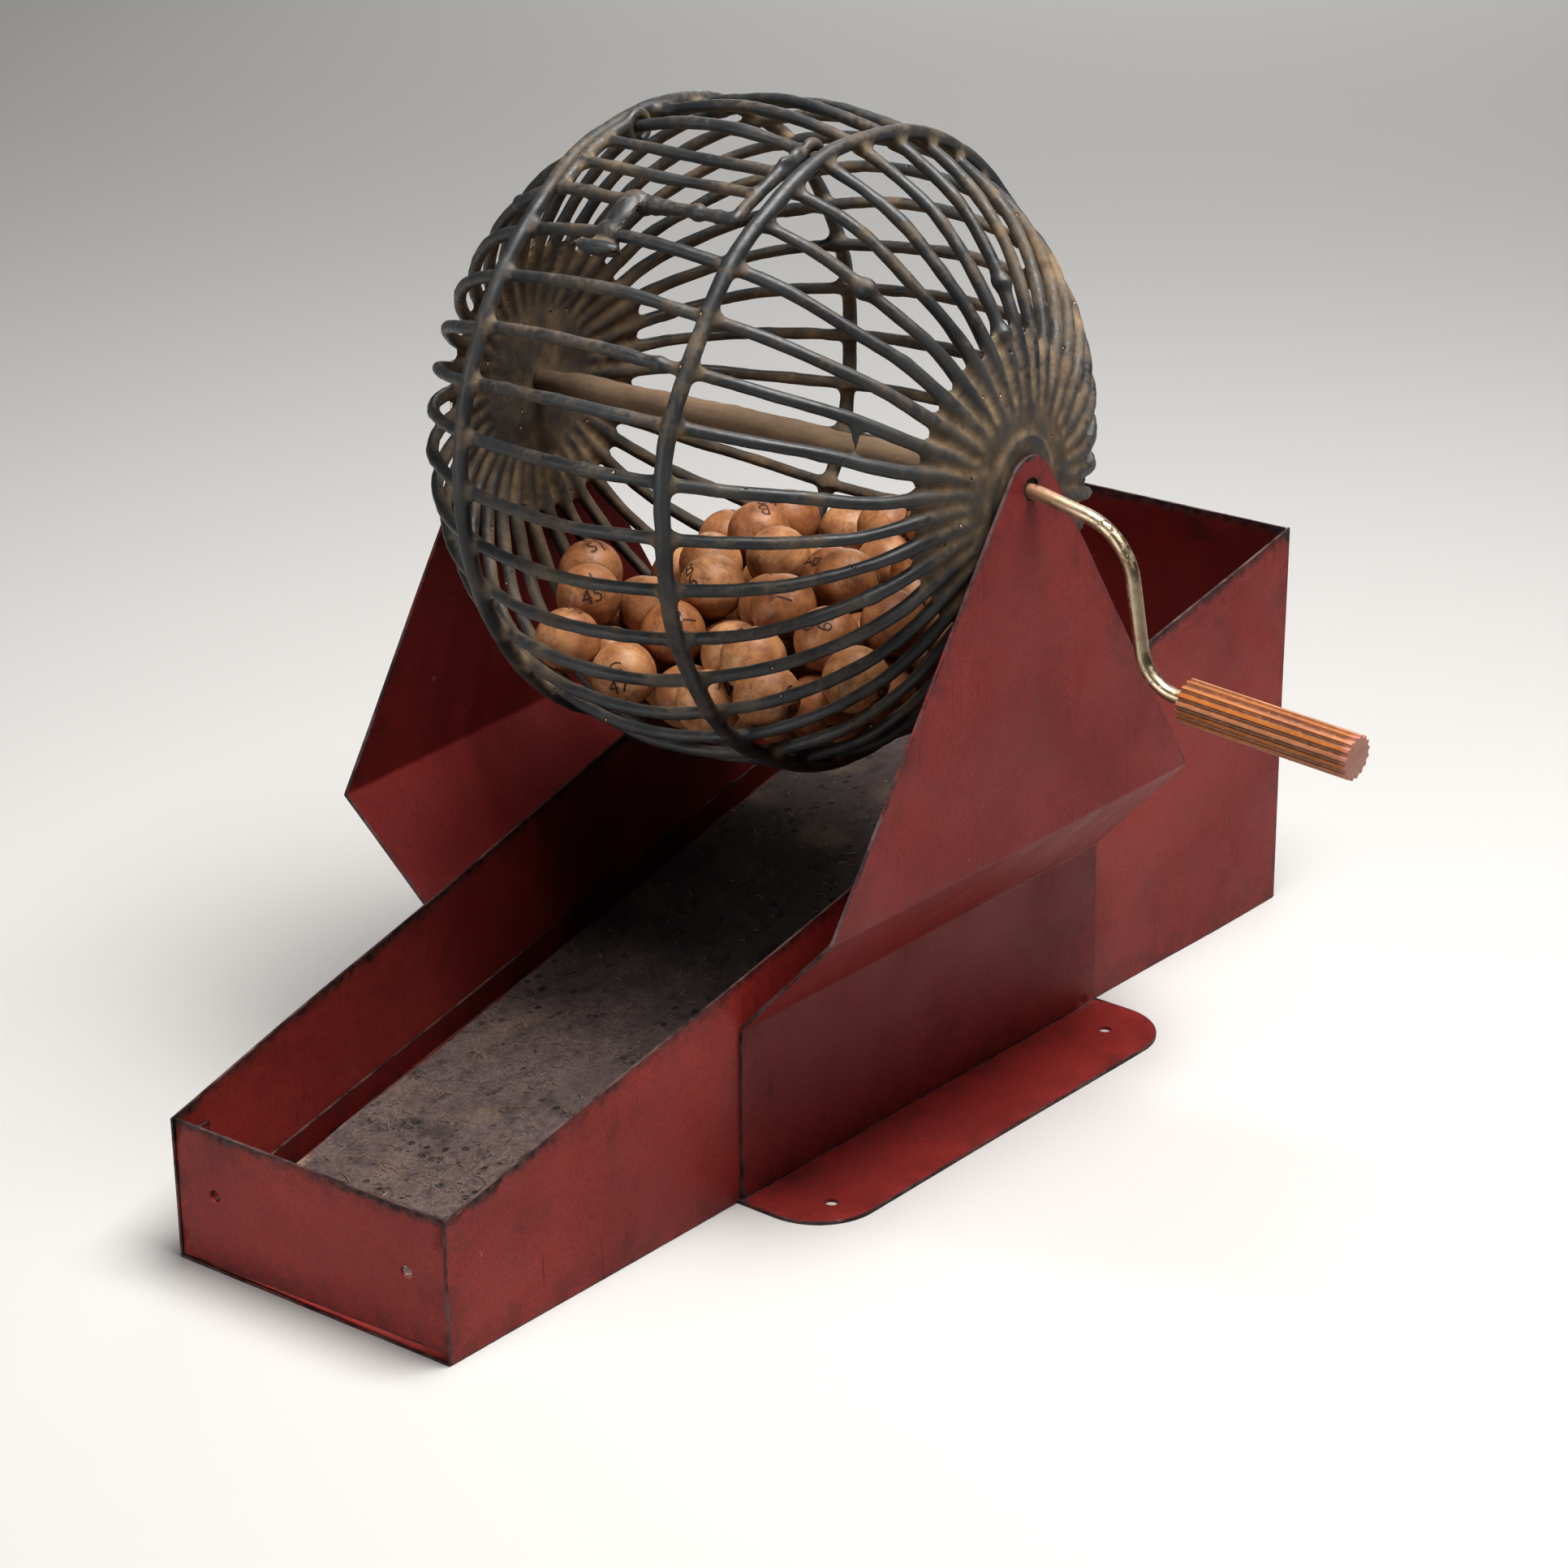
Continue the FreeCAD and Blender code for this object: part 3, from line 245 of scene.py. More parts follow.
class Shader:
    """Short way to write one Principled material's nodes."""

    def __init__(self, name, **settings):
        self.material = bpy.data.materials.new(name)
        self.material.use_nodes = True
        self.tree = self.material.node_tree
        self.surface = self.tree.nodes["Principled BSDF"]
        for key, value in settings.items():
            self.surface.inputs[key.replace("_", " ")].default_value = value
        self.place = self.tree.nodes.new("ShaderNodeTexCoord").outputs["Object"]

    def node(self, kind, inputs, **settings):
        node = self.tree.nodes.new("ShaderNode" + kind)
        for key, value in settings.items():
            setattr(node, key, value)
        for key, value in inputs.items():
            self.put(node.inputs[key], value)
        return node

    def put(self, socket, value):
        if isinstance(value, bpy.types.NodeSocket):
            self.tree.links.new(value, socket)
        else:
            socket.default_value = value

    def attribute(self, name, output="Fac"):
        return self.node("Attribute", {}, attribute_name=name).outputs[output]

    def stretched(self, scale, place=None, turn=(0.0, 0.0, 0.0)):
        inputs = {"Vector": place or self.place, "Rotation": turn, "Scale": scale}
        return self.node("Mapping", inputs).outputs[0]

    def noise(self, size, detail=4.0, rough=0.55, place=None, warp=0.0):
        """Noise about 0.5 whose features are about size metres."""
        inputs = {"Vector": place or self.place, "Scale": 1.0 / size, "Detail": detail,
                  "Roughness": rough, "Distortion": warp}
        return self.node("TexNoise", inputs).outputs[0]

    def spots(self, size, radius, place=None, odds=1.0):
        """1 inside scattered round spots, at cells of a size, with some cells left out."""
        node = self.node("TexVoronoi", {"Vector": place or self.place, "Scale": 1.0 / size})
        inside = self.span(node.outputs["Distance"], radius / size, 0.6 * radius / size)
        if odds >= 1.0:
            return inside
        pick = self.node("SeparateColor", {"Color": node.outputs["Color"]}).outputs[0]
        return self.math("MULTIPLY", inside, self.math("LESS_THAN", pick, odds))

    def math(self, operation, one, two=0.0):
        return self.node("Math", {0: one, 1: two}, operation=operation).outputs[0]

    def times(self, one, two):
        return self.math("MULTIPLY", one, two)

    def span(self, value, low, high, start=0.0, end=1.0):
        inputs = {"Value": value, "From Min": low, "From Max": high, "To Min": start, "To Max": end}
        return self.node("MapRange", inputs, clamp=True).outputs[0]

    def vary(self, noise, start=0.0, end=1.0):
        """The middle of a noise's range, stretched to run from start to end."""
        return self.span(noise, 0.38, 0.62, start, end)

    def coordinate(self, axis):
        """Place along X, Y or Z (0, 1 or 2), in metres."""
        return self.node("SeparateXYZ", {"Vector": self.place}).outputs[axis]

    def mix(self, amount, one, two):
        node = self.tree.nodes.new("ShaderNodeMix")
        node.data_type = "RGBA"
        self.put(node.inputs[0], amount)
        self.put(node.inputs[6], one)
        self.put(node.inputs[7], two)
        return node.outputs[2]

    def bump(self, height, distance, strength=1.0, under=None):
        inputs = {"Height": height, "Distance": distance, "Strength": strength}
        if under is not None:
            inputs["Normal"] = under
        return self.node("Bump", inputs).outputs[0]

    def over(self, mask, *colour):
        """Lays a colour, given as sRGB 0 to 255 or as a socket, over the one so far."""
        self.colour = self.mix(mask, self.colour, rgb(*colour) if len(colour) == 3 else colour[0])

    def finish(self, roughness=None, normal=None, metal=None):
        for name, value in (("Base Color", self.colour), ("Roughness", roughness), ("Normal", normal),
                            ("Metallic", metal)):
            if value is not None:
                self.put(self.surface.inputs[name], value)
        return self.material


def rubber_material():
    """Old dipped coating: charcoal where handled, tan dust in hollows and on the inside."""
    s = Shader("dipped_rubber", Specular_IOR_Level=0.42)
    # The attribute carries dust, and on the cage also painted shade inside the left hub.
    dust_and_shade = s.attribute("dust_and_shade")
    grain = s.noise(0.0022, 5, 0.65)
    cloud = s.noise(0.014, 3, 0.6)
    amount = s.math("ADD", dust_and_shade, s.span(cloud, 0.36, 0.64, -0.24, 0.24))
    amount = s.math("ADD", amount, s.vary(grain, -0.14, 0.14))
    amount = s.span(amount, 0.16, 1.0)
    tan = s.mix(s.vary(s.noise(0.009, 4)), rgb(84, 70, 54), rgb(122, 103, 79))
    black = s.mix(s.vary(s.noise(0.02, 3)), rgb(40, 41, 43), rgb(58, 58, 58))
    s.colour = s.mix(amount, black, tan)
    holes = s.spots(0.0075, 0.0009, odds=0.4)
    cores = s.spots(0.0075, 0.00055, odds=0.4)
    s.over(holes, 24, 21, 19)
    s.over(cores, 176, 150, 116)
    rough = s.span(amount, 0.0, 0.7, 0.46, 0.84)
    rough = s.math("ADD", rough, s.vary(grain, -0.06, 0.06))
    skin = s.bump(s.noise(0.0045, 4, 0.6), 0.0004, 0.35)
    skin = s.bump(grain, 0.00010, 0.5, skin)
    skin = s.bump(holes, -0.0006, 0.8, skin)
    return s.finish(rough, skin)


def enamel_material(name, outside, inside, blotch, line_dark, line_pale):
    """Aged enamel on sheet: bare edges, a worn dark rim, stains, chips, scratches and specks."""
    s = Shader(name, Specular_IOR_Level=0.24)
    edge, rim = s.attribute("edge"), s.attribute("rim")
    ragged = s.noise(0.005, 5, 0.75)
    broad = s.noise(0.055, 4, 0.6)
    fine = s.noise(0.0035, 5, 0.75)
    s.colour = s.mix(s.vary(broad), outside, inside)
    s.over(s.span(fine, 0.40, 0.66, 0.0, 0.25), inside)
    grain = s.noise(0.0011, 4, 0.75)
    s.over(s.span(grain, 0.46, 0.62, 0.0, 0.38), 78, 32, 31)
    blotches = s.span(s.noise(0.028, 5, 0.72, warp=0.6), 0.57, 0.70, 0.0, blotch)
    s.over(blotches, 46, 26, 26)
    near = s.times(s.span(edge, 0.012, 0.0), s.span(s.noise(0.011, 5, 0.75), 0.44, 0.62))
    s.over(s.times(near, 0.5), 52, 30, 28)
    for turn, odds in (((0.0, 0.5, 0.0), 0.665), ((0.3, -0.9, 0.2), 0.67)):
        slanted = s.stretched((1.0, 1.0, 0.05), turn=turn)
        marks = s.span(s.noise(0.0011, 2, 0.5, place=slanted), odds, odds + 0.05, 0.0, 0.5)
        marks = s.times(marks, s.span(s.noise(0.03, 3), 0.48, 0.58))
        s.over(marks, 58, 30, 28)
    s.over(s.times(s.spots(0.0065, 0.00042, odds=0.4), 0.7), 60, 30, 30)
    s.over(s.spots(0.013, 0.00036, odds=0.4), 170, 128, 112)
    chips = s.times(s.spots(0.026, 0.0024, odds=0.35), s.span(fine, 0.53, 0.58))
    s.over(chips, 168, 128, 104)
    band = s.math("SUBTRACT", rim, s.span(ragged, 0.36, 0.68, -0.0004, 0.0030))
    bare_wide = s.times(s.span(band, 0.0026, -0.0002), s.span(broad, 0.34, 0.52, 0.25, 1.0))
    worn = s.mix(s.span(s.noise(0.003, 3), 0.38, 0.64), rgb(40, 30, 31), rgb(82, 62, 58))
    s.over(bare_wide, worn)
    line = s.span(s.math("SUBTRACT", edge, s.span(ragged, 0.38, 0.64, -0.0001, 0.0004)), 0.00032, 0.0001)
    s.over(line, s.mix(s.span(s.noise(0.016, 4, 0.7), 0.42, 0.60), line_dark, line_pale))
    bare = s.math("MAXIMUM", bare_wide, line)
    rough = s.vary(s.noise(0.03, 4, 0.6), 0.40, 0.54)
    rough = s.math("ADD", rough, s.times(bare, 0.12))
    skin = s.bump(s.noise(0.0016, 4, 0.6), 0.00006, 0.5)
    skin = s.bump(s.noise(0.035, 2), 0.0014, 0.22, skin)
    skin = s.bump(bare, -0.00008, 0.6, skin)
    return s.finish(rough, skin, s.times(bare, 0.3))


def wood_material():
    """Old maple balls: dull orange brown, end grain at the poles, burnt blotches and grime."""
    s = Shader("ball_wood", Specular_IOR_Level=0.36)
    local, tint, burn = s.attribute("local", "Vector"), s.attribute("tint"), s.attribute("burn")
    rings = s.noise(0.0014, 3, 0.6, place=s.stretched((1.0, 1.0, 0.10), local), warp=0.3)
    broad = s.noise(0.010, 4, 0.6, place=local)
    pale = s.mix(tint, rgb(196, 150, 108), rgb(166, 110, 70))
    dark = s.mix(tint, rgb(158, 108, 70), rgb(118, 70, 42))
    s.colour = s.mix(s.vary(broad), pale, dark)
    s.over(s.span(rings, 0.50, 0.66, 0.0, 0.45), 118, 74, 48)
    grime = s.span(s.noise(0.006, 5, 0.75, place=local, warp=0.5), 0.54, 0.66, 0.0, 0.65)
    s.over(grime, 96, 70, 58)
    scorch = s.times(burn, s.span(s.noise(0.0034, 4, 0.7, place=local), 0.44, 0.58))
    s.over(s.times(scorch, 0.85), 66, 42, 30)
    pores = s.spots(0.0032, 0.00016, place=s.stretched((1.0, 1.0, 0.3), local), odds=0.6)
    s.over(pores, 84, 56, 40)
    rough = s.vary(broad, 0.38, 0.54)
    skin = s.bump(rings, 0.00008, 0.5)
    skin = s.bump(s.noise(0.0028, 3, place=local), 0.00016, 0.4, skin)
    return s.finish(rough, skin)


def ink_material():
    """Branded and inked marks on the balls."""
    s = Shader("burnt_mark", Specular_IOR_Level=0.3)
    s.colour = s.mix(s.vary(s.noise(0.0009, 3, 0.7)), rgb(44, 27, 20), rgb(84, 54, 40))
    skin = s.bump(s.noise(0.0005, 3), 0.00005, 0.5)
    return s.finish(s.vary(s.noise(0.002, 2), 0.55, 0.75), skin)


def nickel_material():
    """Worn brassy plating, pitted dark, with brown staining by the support."""
    s = Shader("worn_nickel", Specular_IOR_Level=0.5)
    x = s.coordinate(0)
    cloud = s.noise(0.012, 4, 0.65)
    metal = s.mix(s.vary(cloud), rgb(194, 179, 154), rgb(150, 131, 106))
    pits = s.span(s.noise(0.0019, 6, 0.8), 0.53, 0.59)
    pits = s.times(pits, s.span(s.noise(0.016, 3), 0.42, 0.56))
    stain = s.span(s.math("ADD", x, s.vary(cloud, -0.006, 0.006)), 0.124, 0.108)
    dull = s.math("MAXIMUM", pits, s.times(stain, 0.8))
    s.colour = s.mix(stain, metal, rgb(142, 104, 80))
    s.over(pits, 56, 44, 33)
    rough = s.math("ADD", s.span(dull, 0.0, 1.0, 0.32, 0.74), s.vary(cloud, -0.04, 0.08))
    skin = s.bump(pits, -0.00012, 0.7)
    skin = s.bump(s.noise(0.004, 3), 0.00010, 0.4, skin)
    return s.finish(rough, skin, s.span(dull, 0.0, 1.0, 1.0, 0.25))


def grip_material(axis_y, axis_z, tip_x, start_x, slope):
    """Butterscotch moulded grip: dark in the flutes, scuffed on the crowns, pale end."""
    s = Shader("butterscotch_grip", Specular_IOR_Level=0.5, Coat_Weight=0.15, Coat_Roughness=0.25)
    split = s.node("SeparateXYZ", {"Vector": s.place}).outputs
    along = s.math("SUBTRACT", split[0], start_x)
    centre_z = s.math("ADD", s.times(along, slope), axis_z)
    off_y = s.math("SUBTRACT", split[1], axis_y)
    off_z = s.math("SUBTRACT", split[2], centre_z)
    reach = s.math("SQRT", s.math("ADD", s.times(off_y, off_y), s.times(off_z, off_z)))
    swirl = s.noise(0.012, 4, 0.6, place=s.stretched((0.35, 1.0, 1.0)), warp=0.8)
    resin = s.mix(s.vary(swirl), rgb(170, 106, 54), rgb(138, 80, 36))
    groove = s.span(s.math("ADD", reach, s.vary(s.noise(0.003, 4), -0.00012, 0.00012)),
                    0.0070, 0.0064)
    inside_tip = s.span(split[0], tip_x - 0.0035, tip_x - 0.0015)
    groove = s.times(groove, s.math("SUBTRACT", 1.0, inside_tip))
    s.colour = s.mix(s.times(groove, 0.9), resin, rgb(92, 50, 24))
    s.over(s.times(inside_tip, 0.75), 168, 108, 92)
    scuffs = s.span(s.noise(0.0016, 5, 0.75), 0.56, 0.64, 0.0, 0.4)
    s.over(scuffs, 196, 142, 92)
    rough = s.vary(swirl, 0.28, 0.44)
    skin = s.bump(s.noise(0.0012, 4), 0.00006, 0.5)
    return s.finish(rough, skin)


def felt_material():
    """Matted purple-brown felt with dark pits, clots, lighter worn fibres and a painted shadow under the
    cage.
    """
    s = Shader("matted_felt", Specular_IOR_Level=0.12, Sheen_Weight=0.15, Sheen_Roughness=0.6)
    fibre = s.noise(0.0010, 6, 0.85)
    cloud = s.noise(0.03, 4, 0.65)
    s.colour = s.mix(s.span(fibre, 0.40, 0.60), rgb(58, 47, 48), rgb(136, 113, 107))
    s.over(s.span(cloud, 0.42, 0.62, 0.0, 0.5), 86, 66, 64)
    clots = s.span(s.noise(0.0040, 6, 0.85), 0.52, 0.62, 0.0, 0.7)
    s.over(clots, 46, 36, 37)
    stains = s.span(s.noise(0.017, 5, 0.75, warp=0.4), 0.52, 0.64, 0.0, 0.6)
    s.over(stains, 44, 34, 34)
    pits = s.spots(0.0056, 0.0014, odds=0.55)
    pits = s.times(pits, s.span(s.noise(0.05, 3), 0.44, 0.54))
    pits = s.math("MAXIMUM", pits, s.span(s.noise(0.0070, 5, 0.8), 0.61, 0.65))
    s.over(pits, 20, 16, 17)
    # Painted shadow of the cage and balls: the felt darkens rearwards from about y -0.085 m.
    depth = s.math("ADD", s.coordinate(1), s.vary(cloud, -0.02, 0.02))
    s.over(s.span(depth, -0.085, -0.015, 0.0, 0.6), 26, 21, 21)
    tuft = s.attribute("worn")
    s.over(s.times(tuft, s.span(fibre, 0.35, 0.55)), 166, 140, 110)
    skin = s.bump(fibre, 0.0006, 1.0)
    skin = s.bump(pits, -0.0009, 0.8, skin)
    return s.finish(s.span(fibre, 0.40, 0.60, 0.85, 0.98), skin)


def fibre_material():
    """Loose fibres lifted from the felt, from dark to straw-coloured."""
    s = Shader("felt_fibre", Specular_IOR_Level=0.2)
    s.colour = s.mix(s.attribute("shade"), rgb(58, 46, 46), rgb(176, 156, 132))
    s.over(s.span(s.noise(0.0015, 2), 0.40, 0.60, 0.0, 0.4), 96, 78, 72)
    return s.finish(s.span(s.noise(0.002, 2), 0.40, 0.60, 0.7, 0.9))


def tube_material():
    """Axle sleeve: brown cloth-like rubber, dusty all over."""
    s = Shader("dusty_sleeve", Specular_IOR_Level=0.3)
    cloud = s.noise(0.016, 5, 0.65, place=s.stretched((0.35, 1.0, 1.0)))
    s.colour = s.mix(s.span(cloud, 0.3, 0.7), rgb(94, 77, 62), rgb(128, 107, 86))
    grain = s.noise(0.0016, 5, 0.7)
    s.over(s.span(grain, 0.55, 0.72, 0.0, 0.6), 76, 58, 44)
    s.over(s.spots(0.012, 0.0007, odds=0.4), 40, 30, 24)
    reach = s.math("ABSOLUTE", s.coordinate(0))
    s.over(s.span(s.math("ADD", reach, s.vary(cloud, -0.01, 0.01)), 0.062, 0.094, 0.0, 0.8), 62, 48, 38)
    skin = s.bump(grain, 0.0002, 0.6)
    skin = s.bump(s.noise(0.007, 3), 0.0005, 0.6, skin)
    return s.finish(s.span(grain, 0.3, 0.7, 0.72, 0.9), skin)


# ---- camera, light and floor


def place_camera():
    """The photograph's viewing angle: azimuth 37.6, elevation 22.4, a slight roll."""
    azimuth, elevation, roll = math.radians(37.64), math.radians(22.40), math.radians(-0.40)
    back = Vector((math.sin(azimuth) * math.cos(elevation), -math.cos(azimuth) * math.cos(elevation),
                   math.sin(elevation)))
    right = Vector((math.cos(azimuth), math.sin(azimuth), 0.0))
    up = back.cross(right)
    side = math.cos(roll) * right + math.sin(roll) * up
    top = -math.sin(roll) * right + math.cos(roll) * up
    camera = bpy.data.objects.new("camera", bpy.data.cameras.new("camera"))
    camera.data.lens, camera.data.sensor_width = 95.67, 36.0
    camera.data.clip_start, camera.data.clip_end = 0.05, 50.0
    matrix = Matrix((side, top, back)).transposed().to_4x4()
    matrix.translation = (0.7959, -1.0223, 0.6322)
    camera.matrix_world = matrix
    link(camera)
    bpy.context.scene.camera = camera


def soft_light(name, place, target, size, power, colour):
    light = bpy.data.lights.new(name, "AREA")
    light.shape, light.size, light.size_y = "RECTANGLE", *size
    light.energy, light.color = power, colour
    lamp = bpy.data.objects.new(name, light)
    lamp.location = place
    lamp.rotation_euler = (Vector(target) - Vector(place)).to_track_quat("-Z", "Y").to_euler()
    link(lamp)


def studio():
    """Pale plain floor, a soft key above, low fills in front and behind, and lit floor all round."""
    floor = from_arrays("studio_floor", [(-9, -9, 0), (9, -9, 0), (9, 9, 0), (-9, 9, 0)], [(0, 1, 2, 3)])
    s = Shader("studio_floor", Roughness=0.9, Specular_IOR_Level=0.1, Emission_Color=(1.0, 0.99, 0.98, 1.0))
    away = s.node("VectorMath", {0: s.place, 1: FLOOR_MIDDLE}, operation="DISTANCE").outputs["Value"]
    s.put(s.surface.inputs["Emission Strength"], s.span(away, *FAR_FLOOR, 0.0, FLOOR_GLOW))
    s.colour = s.mix(s.noise(0.6, 2), rgb(187, 186, 185), rgb(191, 190, 188))
    floor.data.materials.append(s.finish())
    for light in LIGHTS:
        soft_light(*light)
    world = bpy.data.worlds.new("soft_room")
    world.use_nodes = True
    background = world.node_tree.nodes["Background"]
    background.inputs["Color"].default_value = (0.97, 0.965, 0.96, 1.0)
    seen = world.node_tree.nodes.new("ShaderNodeLightPath").outputs["Is Camera Ray"]
    strength = world.node_tree.nodes.new("ShaderNodeMapRange")
    strength.inputs["To Min"].default_value, strength.inputs["To Max"].default_value = WORLD_GLOW
    world.node_tree.links.new(seen, strength.inputs["Value"])
    world.node_tree.links.new(strength.outputs[0], background.inputs["Strength"])
    bpy.context.scene.world = world
    bpy.context.scene.view_settings.view_transform = "Standard"
    bpy.context.scene.view_settings.look = "Medium High Contrast"


# ---- dipped wire pieces


def joined(nodes, extras=()):
    """One mesh of several CAD nodes and extra closed shells, welded vertex to vertex."""
    welded = bmesh.new()
    for node in nodes:
        welded.from_mesh(frame["nodes"][node].data)
    for points, faces in extras:
        made = [welded.verts.new(p) for p in points]
        for face in faces:
            welded.faces.new([made[i] for i in face])
    bmesh.ops.remove_doubles(welded, verts=welded.verts, dist=WELD)
    bmesh.ops.recalc_face_normals(welded, faces=welded.faces)
    mesh = bpy.data.meshes.new("joined")
    welded.to_mesh(mesh)
    welded.free()
    return mesh


def dipped(name, body, nodes, extras, voxel, coat, rubber, settings):
    """Wires fused by a dipped coating: swollen, remeshed and drawn back, so joints get fillets.

    The settings are seed, sizes of lumps, knots, regrow (what the drawing back took too much), wander and
    flare (extra near the axle), polish (smoothing steps), dust_and_shade (its function: dust, with painted
    shade on the cage) and keep (a limit on moves).
    """
    mesh = joined(nodes, extras)
    points = mesh_points(mesh)
    radius = np.hypot(points[:, 1], points[:, 2] - AXLE)
    flare = settings.get("flare", 0.0) * (1 - blend_step(0.034, 0.072, radius))
    set_points(mesh, points + (coat + flare)[:, None] * mesh_normals(mesh))
    piece = add_object(name, mesh)
    remeshed(piece, voxel)
    smooth = piece.modifiers.new("smooth", "SMOOTH")
    smooth.factor, smooth.iterations = 0.5, 4
    draw = piece.modifiers.new("draw", "DISPLACE")
    draw.strength, draw.mid_level = -coat, 0.0
    settle = piece.modifiers.new("settle", "SMOOTH")
    settle.factor, settle.iterations = 0.5, settings.get("polish", 4)
    mesh = evaluated(piece)
    points, normals = mesh_points(mesh), mesh_normals(mesh)
    seed = settings["seed"]
    lumps = 0.5 * waves(points, 0.009, seed + 20) + 0.5 * waves(points, 0.022, seed + 30)
    knots = np.clip(waves(points, 0.012, seed + 40) - 1.6, 0, 1.2)
    swell = settings["lumps"] * lumps + settings["knots"] * knots + settings["regrow"]
    points = points + swell[:, None] * normals
    before, points = points, points + settings["wander"] * vector_waves(points, 0.045, seed)
    if "keep" in settings:
        points = settings["keep"](before, points)
    set_points(mesh, points)
    point_layer(mesh, "dust_and_shade", settings["dust_and_shade"](mesh, points, mesh_normals(mesh)))
    mesh.materials.append(rubber)
    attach(piece, body)
    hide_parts(*nodes)


def rib_point(angle, x):
    """Point on a rib's centre line, in metres, from its angle and its x in mm."""
    low, bend, turn = RIB_MID
    if abs(x) <= bend * math.sin(turn):
        radius = low + math.sqrt(bend ** 2 - x ** 2)
    else:
        radius = RIB_END[1] + math.sqrt(max(RIB_END[2] ** 2 - (abs(x) - RIB_END[0]) ** 2, 0.0))
    return on_cage(angle, radius, x)


def on_cage(angle, radius, x):
    turn = math.radians(angle)
    return np.array([x, radius * math.cos(turn), radius * math.sin(turn)]) * MM + np.array([0, 0, AXLE])


def blob(centre, radius, stretch=(1, 1, 1)):
    """Small closed lump of coating."""
    ball = bmesh.new()
    bmesh.ops.create_icosphere(ball, subdivisions=2, radius=radius * MM)
    points = [tuple(np.array(v.co) * stretch + centre) for v in ball.verts]
    faces = [[v.index for v in f.verts] for f in ball.faces]
    ball.free()
    return points, faces


def web(side, angle, start, end, thick=0.6):
    """Skin of coating between two neighbouring ribs beside a hub, with a drawn-in free edge."""
    across, along = 9, 9
    points = []
    for layer in (-1, 1):
        for i in range(across):
            u = i / (across - 1)
            edge = end + 5.0 * (2 * u - 1) ** 2
            for j in range(along):
                radius = start + (edge - start) * j / (along - 1)
                rise = radius - RIB_END[1]
                depth = math.sqrt(RIB_END[2] ** 2 - rise ** 2)
                x = side * (RIB_END[0] + depth)
                one, two = on_cage(angle, radius, x), on_cage(angle + RIB_STEP, radius, x)
                middle = one * (1 - u) + two * u
                turn = math.radians(angle + RIB_STEP * u)
                out = np.array([side * depth, rise * math.cos(turn), rise * math.sin(turn)])
                out /= np.linalg.norm(out)
                points.append(tuple(middle + (layer * thick + (0.5 if side < 0 else -0.1)) * MM * out))
    return points, slab_faces(across, along)


def cage_extras():
    """Webs between the ribs, swollen crossings, a drip and the lumps seen on the real cage."""
    rng = np.random.default_rng(11)
    extras = []
    for side, reach in ((1, 36.5), (-1, 38.0)):
        for angle in RIB_ANGLES:
            extras.append(web(side, angle, 20.0, reach + rng.uniform(-3.0, 3.0)))
    for side in (-1, 1):
        for angle in RIB_ANGLES:
            if angle in CUT_RIBS and rng.uniform() < 0.5:
                continue
            middle = rib_point(angle, side * HOOP_X)
            extras.append(blob(middle + rng.normal(0, 0.2, 3) * MM, rng.uniform(2.5, 3.0)))
    for angle, x, radius in RIB_LUMPS:
        extras.append(blob(rib_point(angle, x), radius, (1.25, 1, 1)))
    extras.append(web(-1, 11.0, 41.0, 49.0, 0.9))
    drip = rib_point(151, 81.5)
    for step in range(5):
        extras.append(blob(drip + np.array([0.2 * step, 0, -1.6 - 1.2 * step]) * MM, 1.1 - 0.08 * step))
    return extras


def clear_of_balls(before, after):
    """Lets the wires wander outwards only, and presses lumps on their inner side nearly flat."""
    off = before - np.array([0, 0, AXLE])
    x, radius = off[:, 0] / MM, np.hypot(off[:, 1], off[:, 2]) / MM
    low, bend, turn = RIB_MID
    middle = np.abs(x) <= bend * math.sin(turn)
    from_x = x - np.where(middle, 0.0, RIB_END[0] * np.sign(x))
    from_r = radius - np.where(middle, low, RIB_END[1])
    reach = np.hypot(from_x, from_r)
    around = off[:, 1:] / (radius * MM)[:, None]
    out = np.concatenate([(from_x / reach)[:, None], around * (from_r / reach)[:, None]], axis=1)
    inward = np.minimum(np.einsum("ij,ij->i", after - before, out), 0)
    inside = np.where(middle, bend, RIB_END[2]) - WIRE - reach
    press = 0.85 * np.clip(inside, 0, 3.0) * MM - inward
    return after + (press * blend_step(40.0, 58.0, radius))[:, None] * out


def around_axle(points, normals):
    """Points from the cage's middle, their directions, and how far each normal faces inwards."""
    off = points - np.array([0, 0, AXLE])
    sphere = off / np.linalg.norm(off, axis=1)[:, None]
    return off, sphere, np.clip(-np.einsum("ij,ij->i", sphere, normals), 0, 1)


def cage_dust_and_shade(mesh, points, normals):
    """Dust inside, in hollows, round the hubs and at the upper rear right; painted shade on the inward
    faces inside the left hub.
    """
    off, sphere, inward = around_axle(points, normals)
    radius = np.hypot(off[:, 1], off[:, 2])
    near_hub = 1 - blend_step(22 * MM, 62 * MM, radius)
    crease = hollow(mesh, 4, 97)
    left = (off[:, 0] < 0) * near_hub
    dust_and_shade = 0.16 + 0.42 * inward + 0.40 * near_hub * (1 - 0.3 * inward) + 0.42 * np.clip(crease, 0, 1)
    # Painted shade: the minus term darkens the inward faces inside the left hub.
    dust_and_shade += 0.06 * left - 0.40 * left * inward + 0.40 * np.clip(crease, -1, 0) * near_hub
    rear_right = blend_step(45 * MM, 85 * MM, off[:, 0]) * blend_step(0.0, 0.5, sphere[:, 1])
    rear_right *= blend_step(-0.1, 0.4, sphere[:, 2])
    dust_and_shade += 0.62 * rear_right * blend_step(20 * MM, 45 * MM, radius)
    dust_and_shade += 0.10 * waves(points, 0.05, 77)
    return np.clip(dust_and_shade, 0, 1)


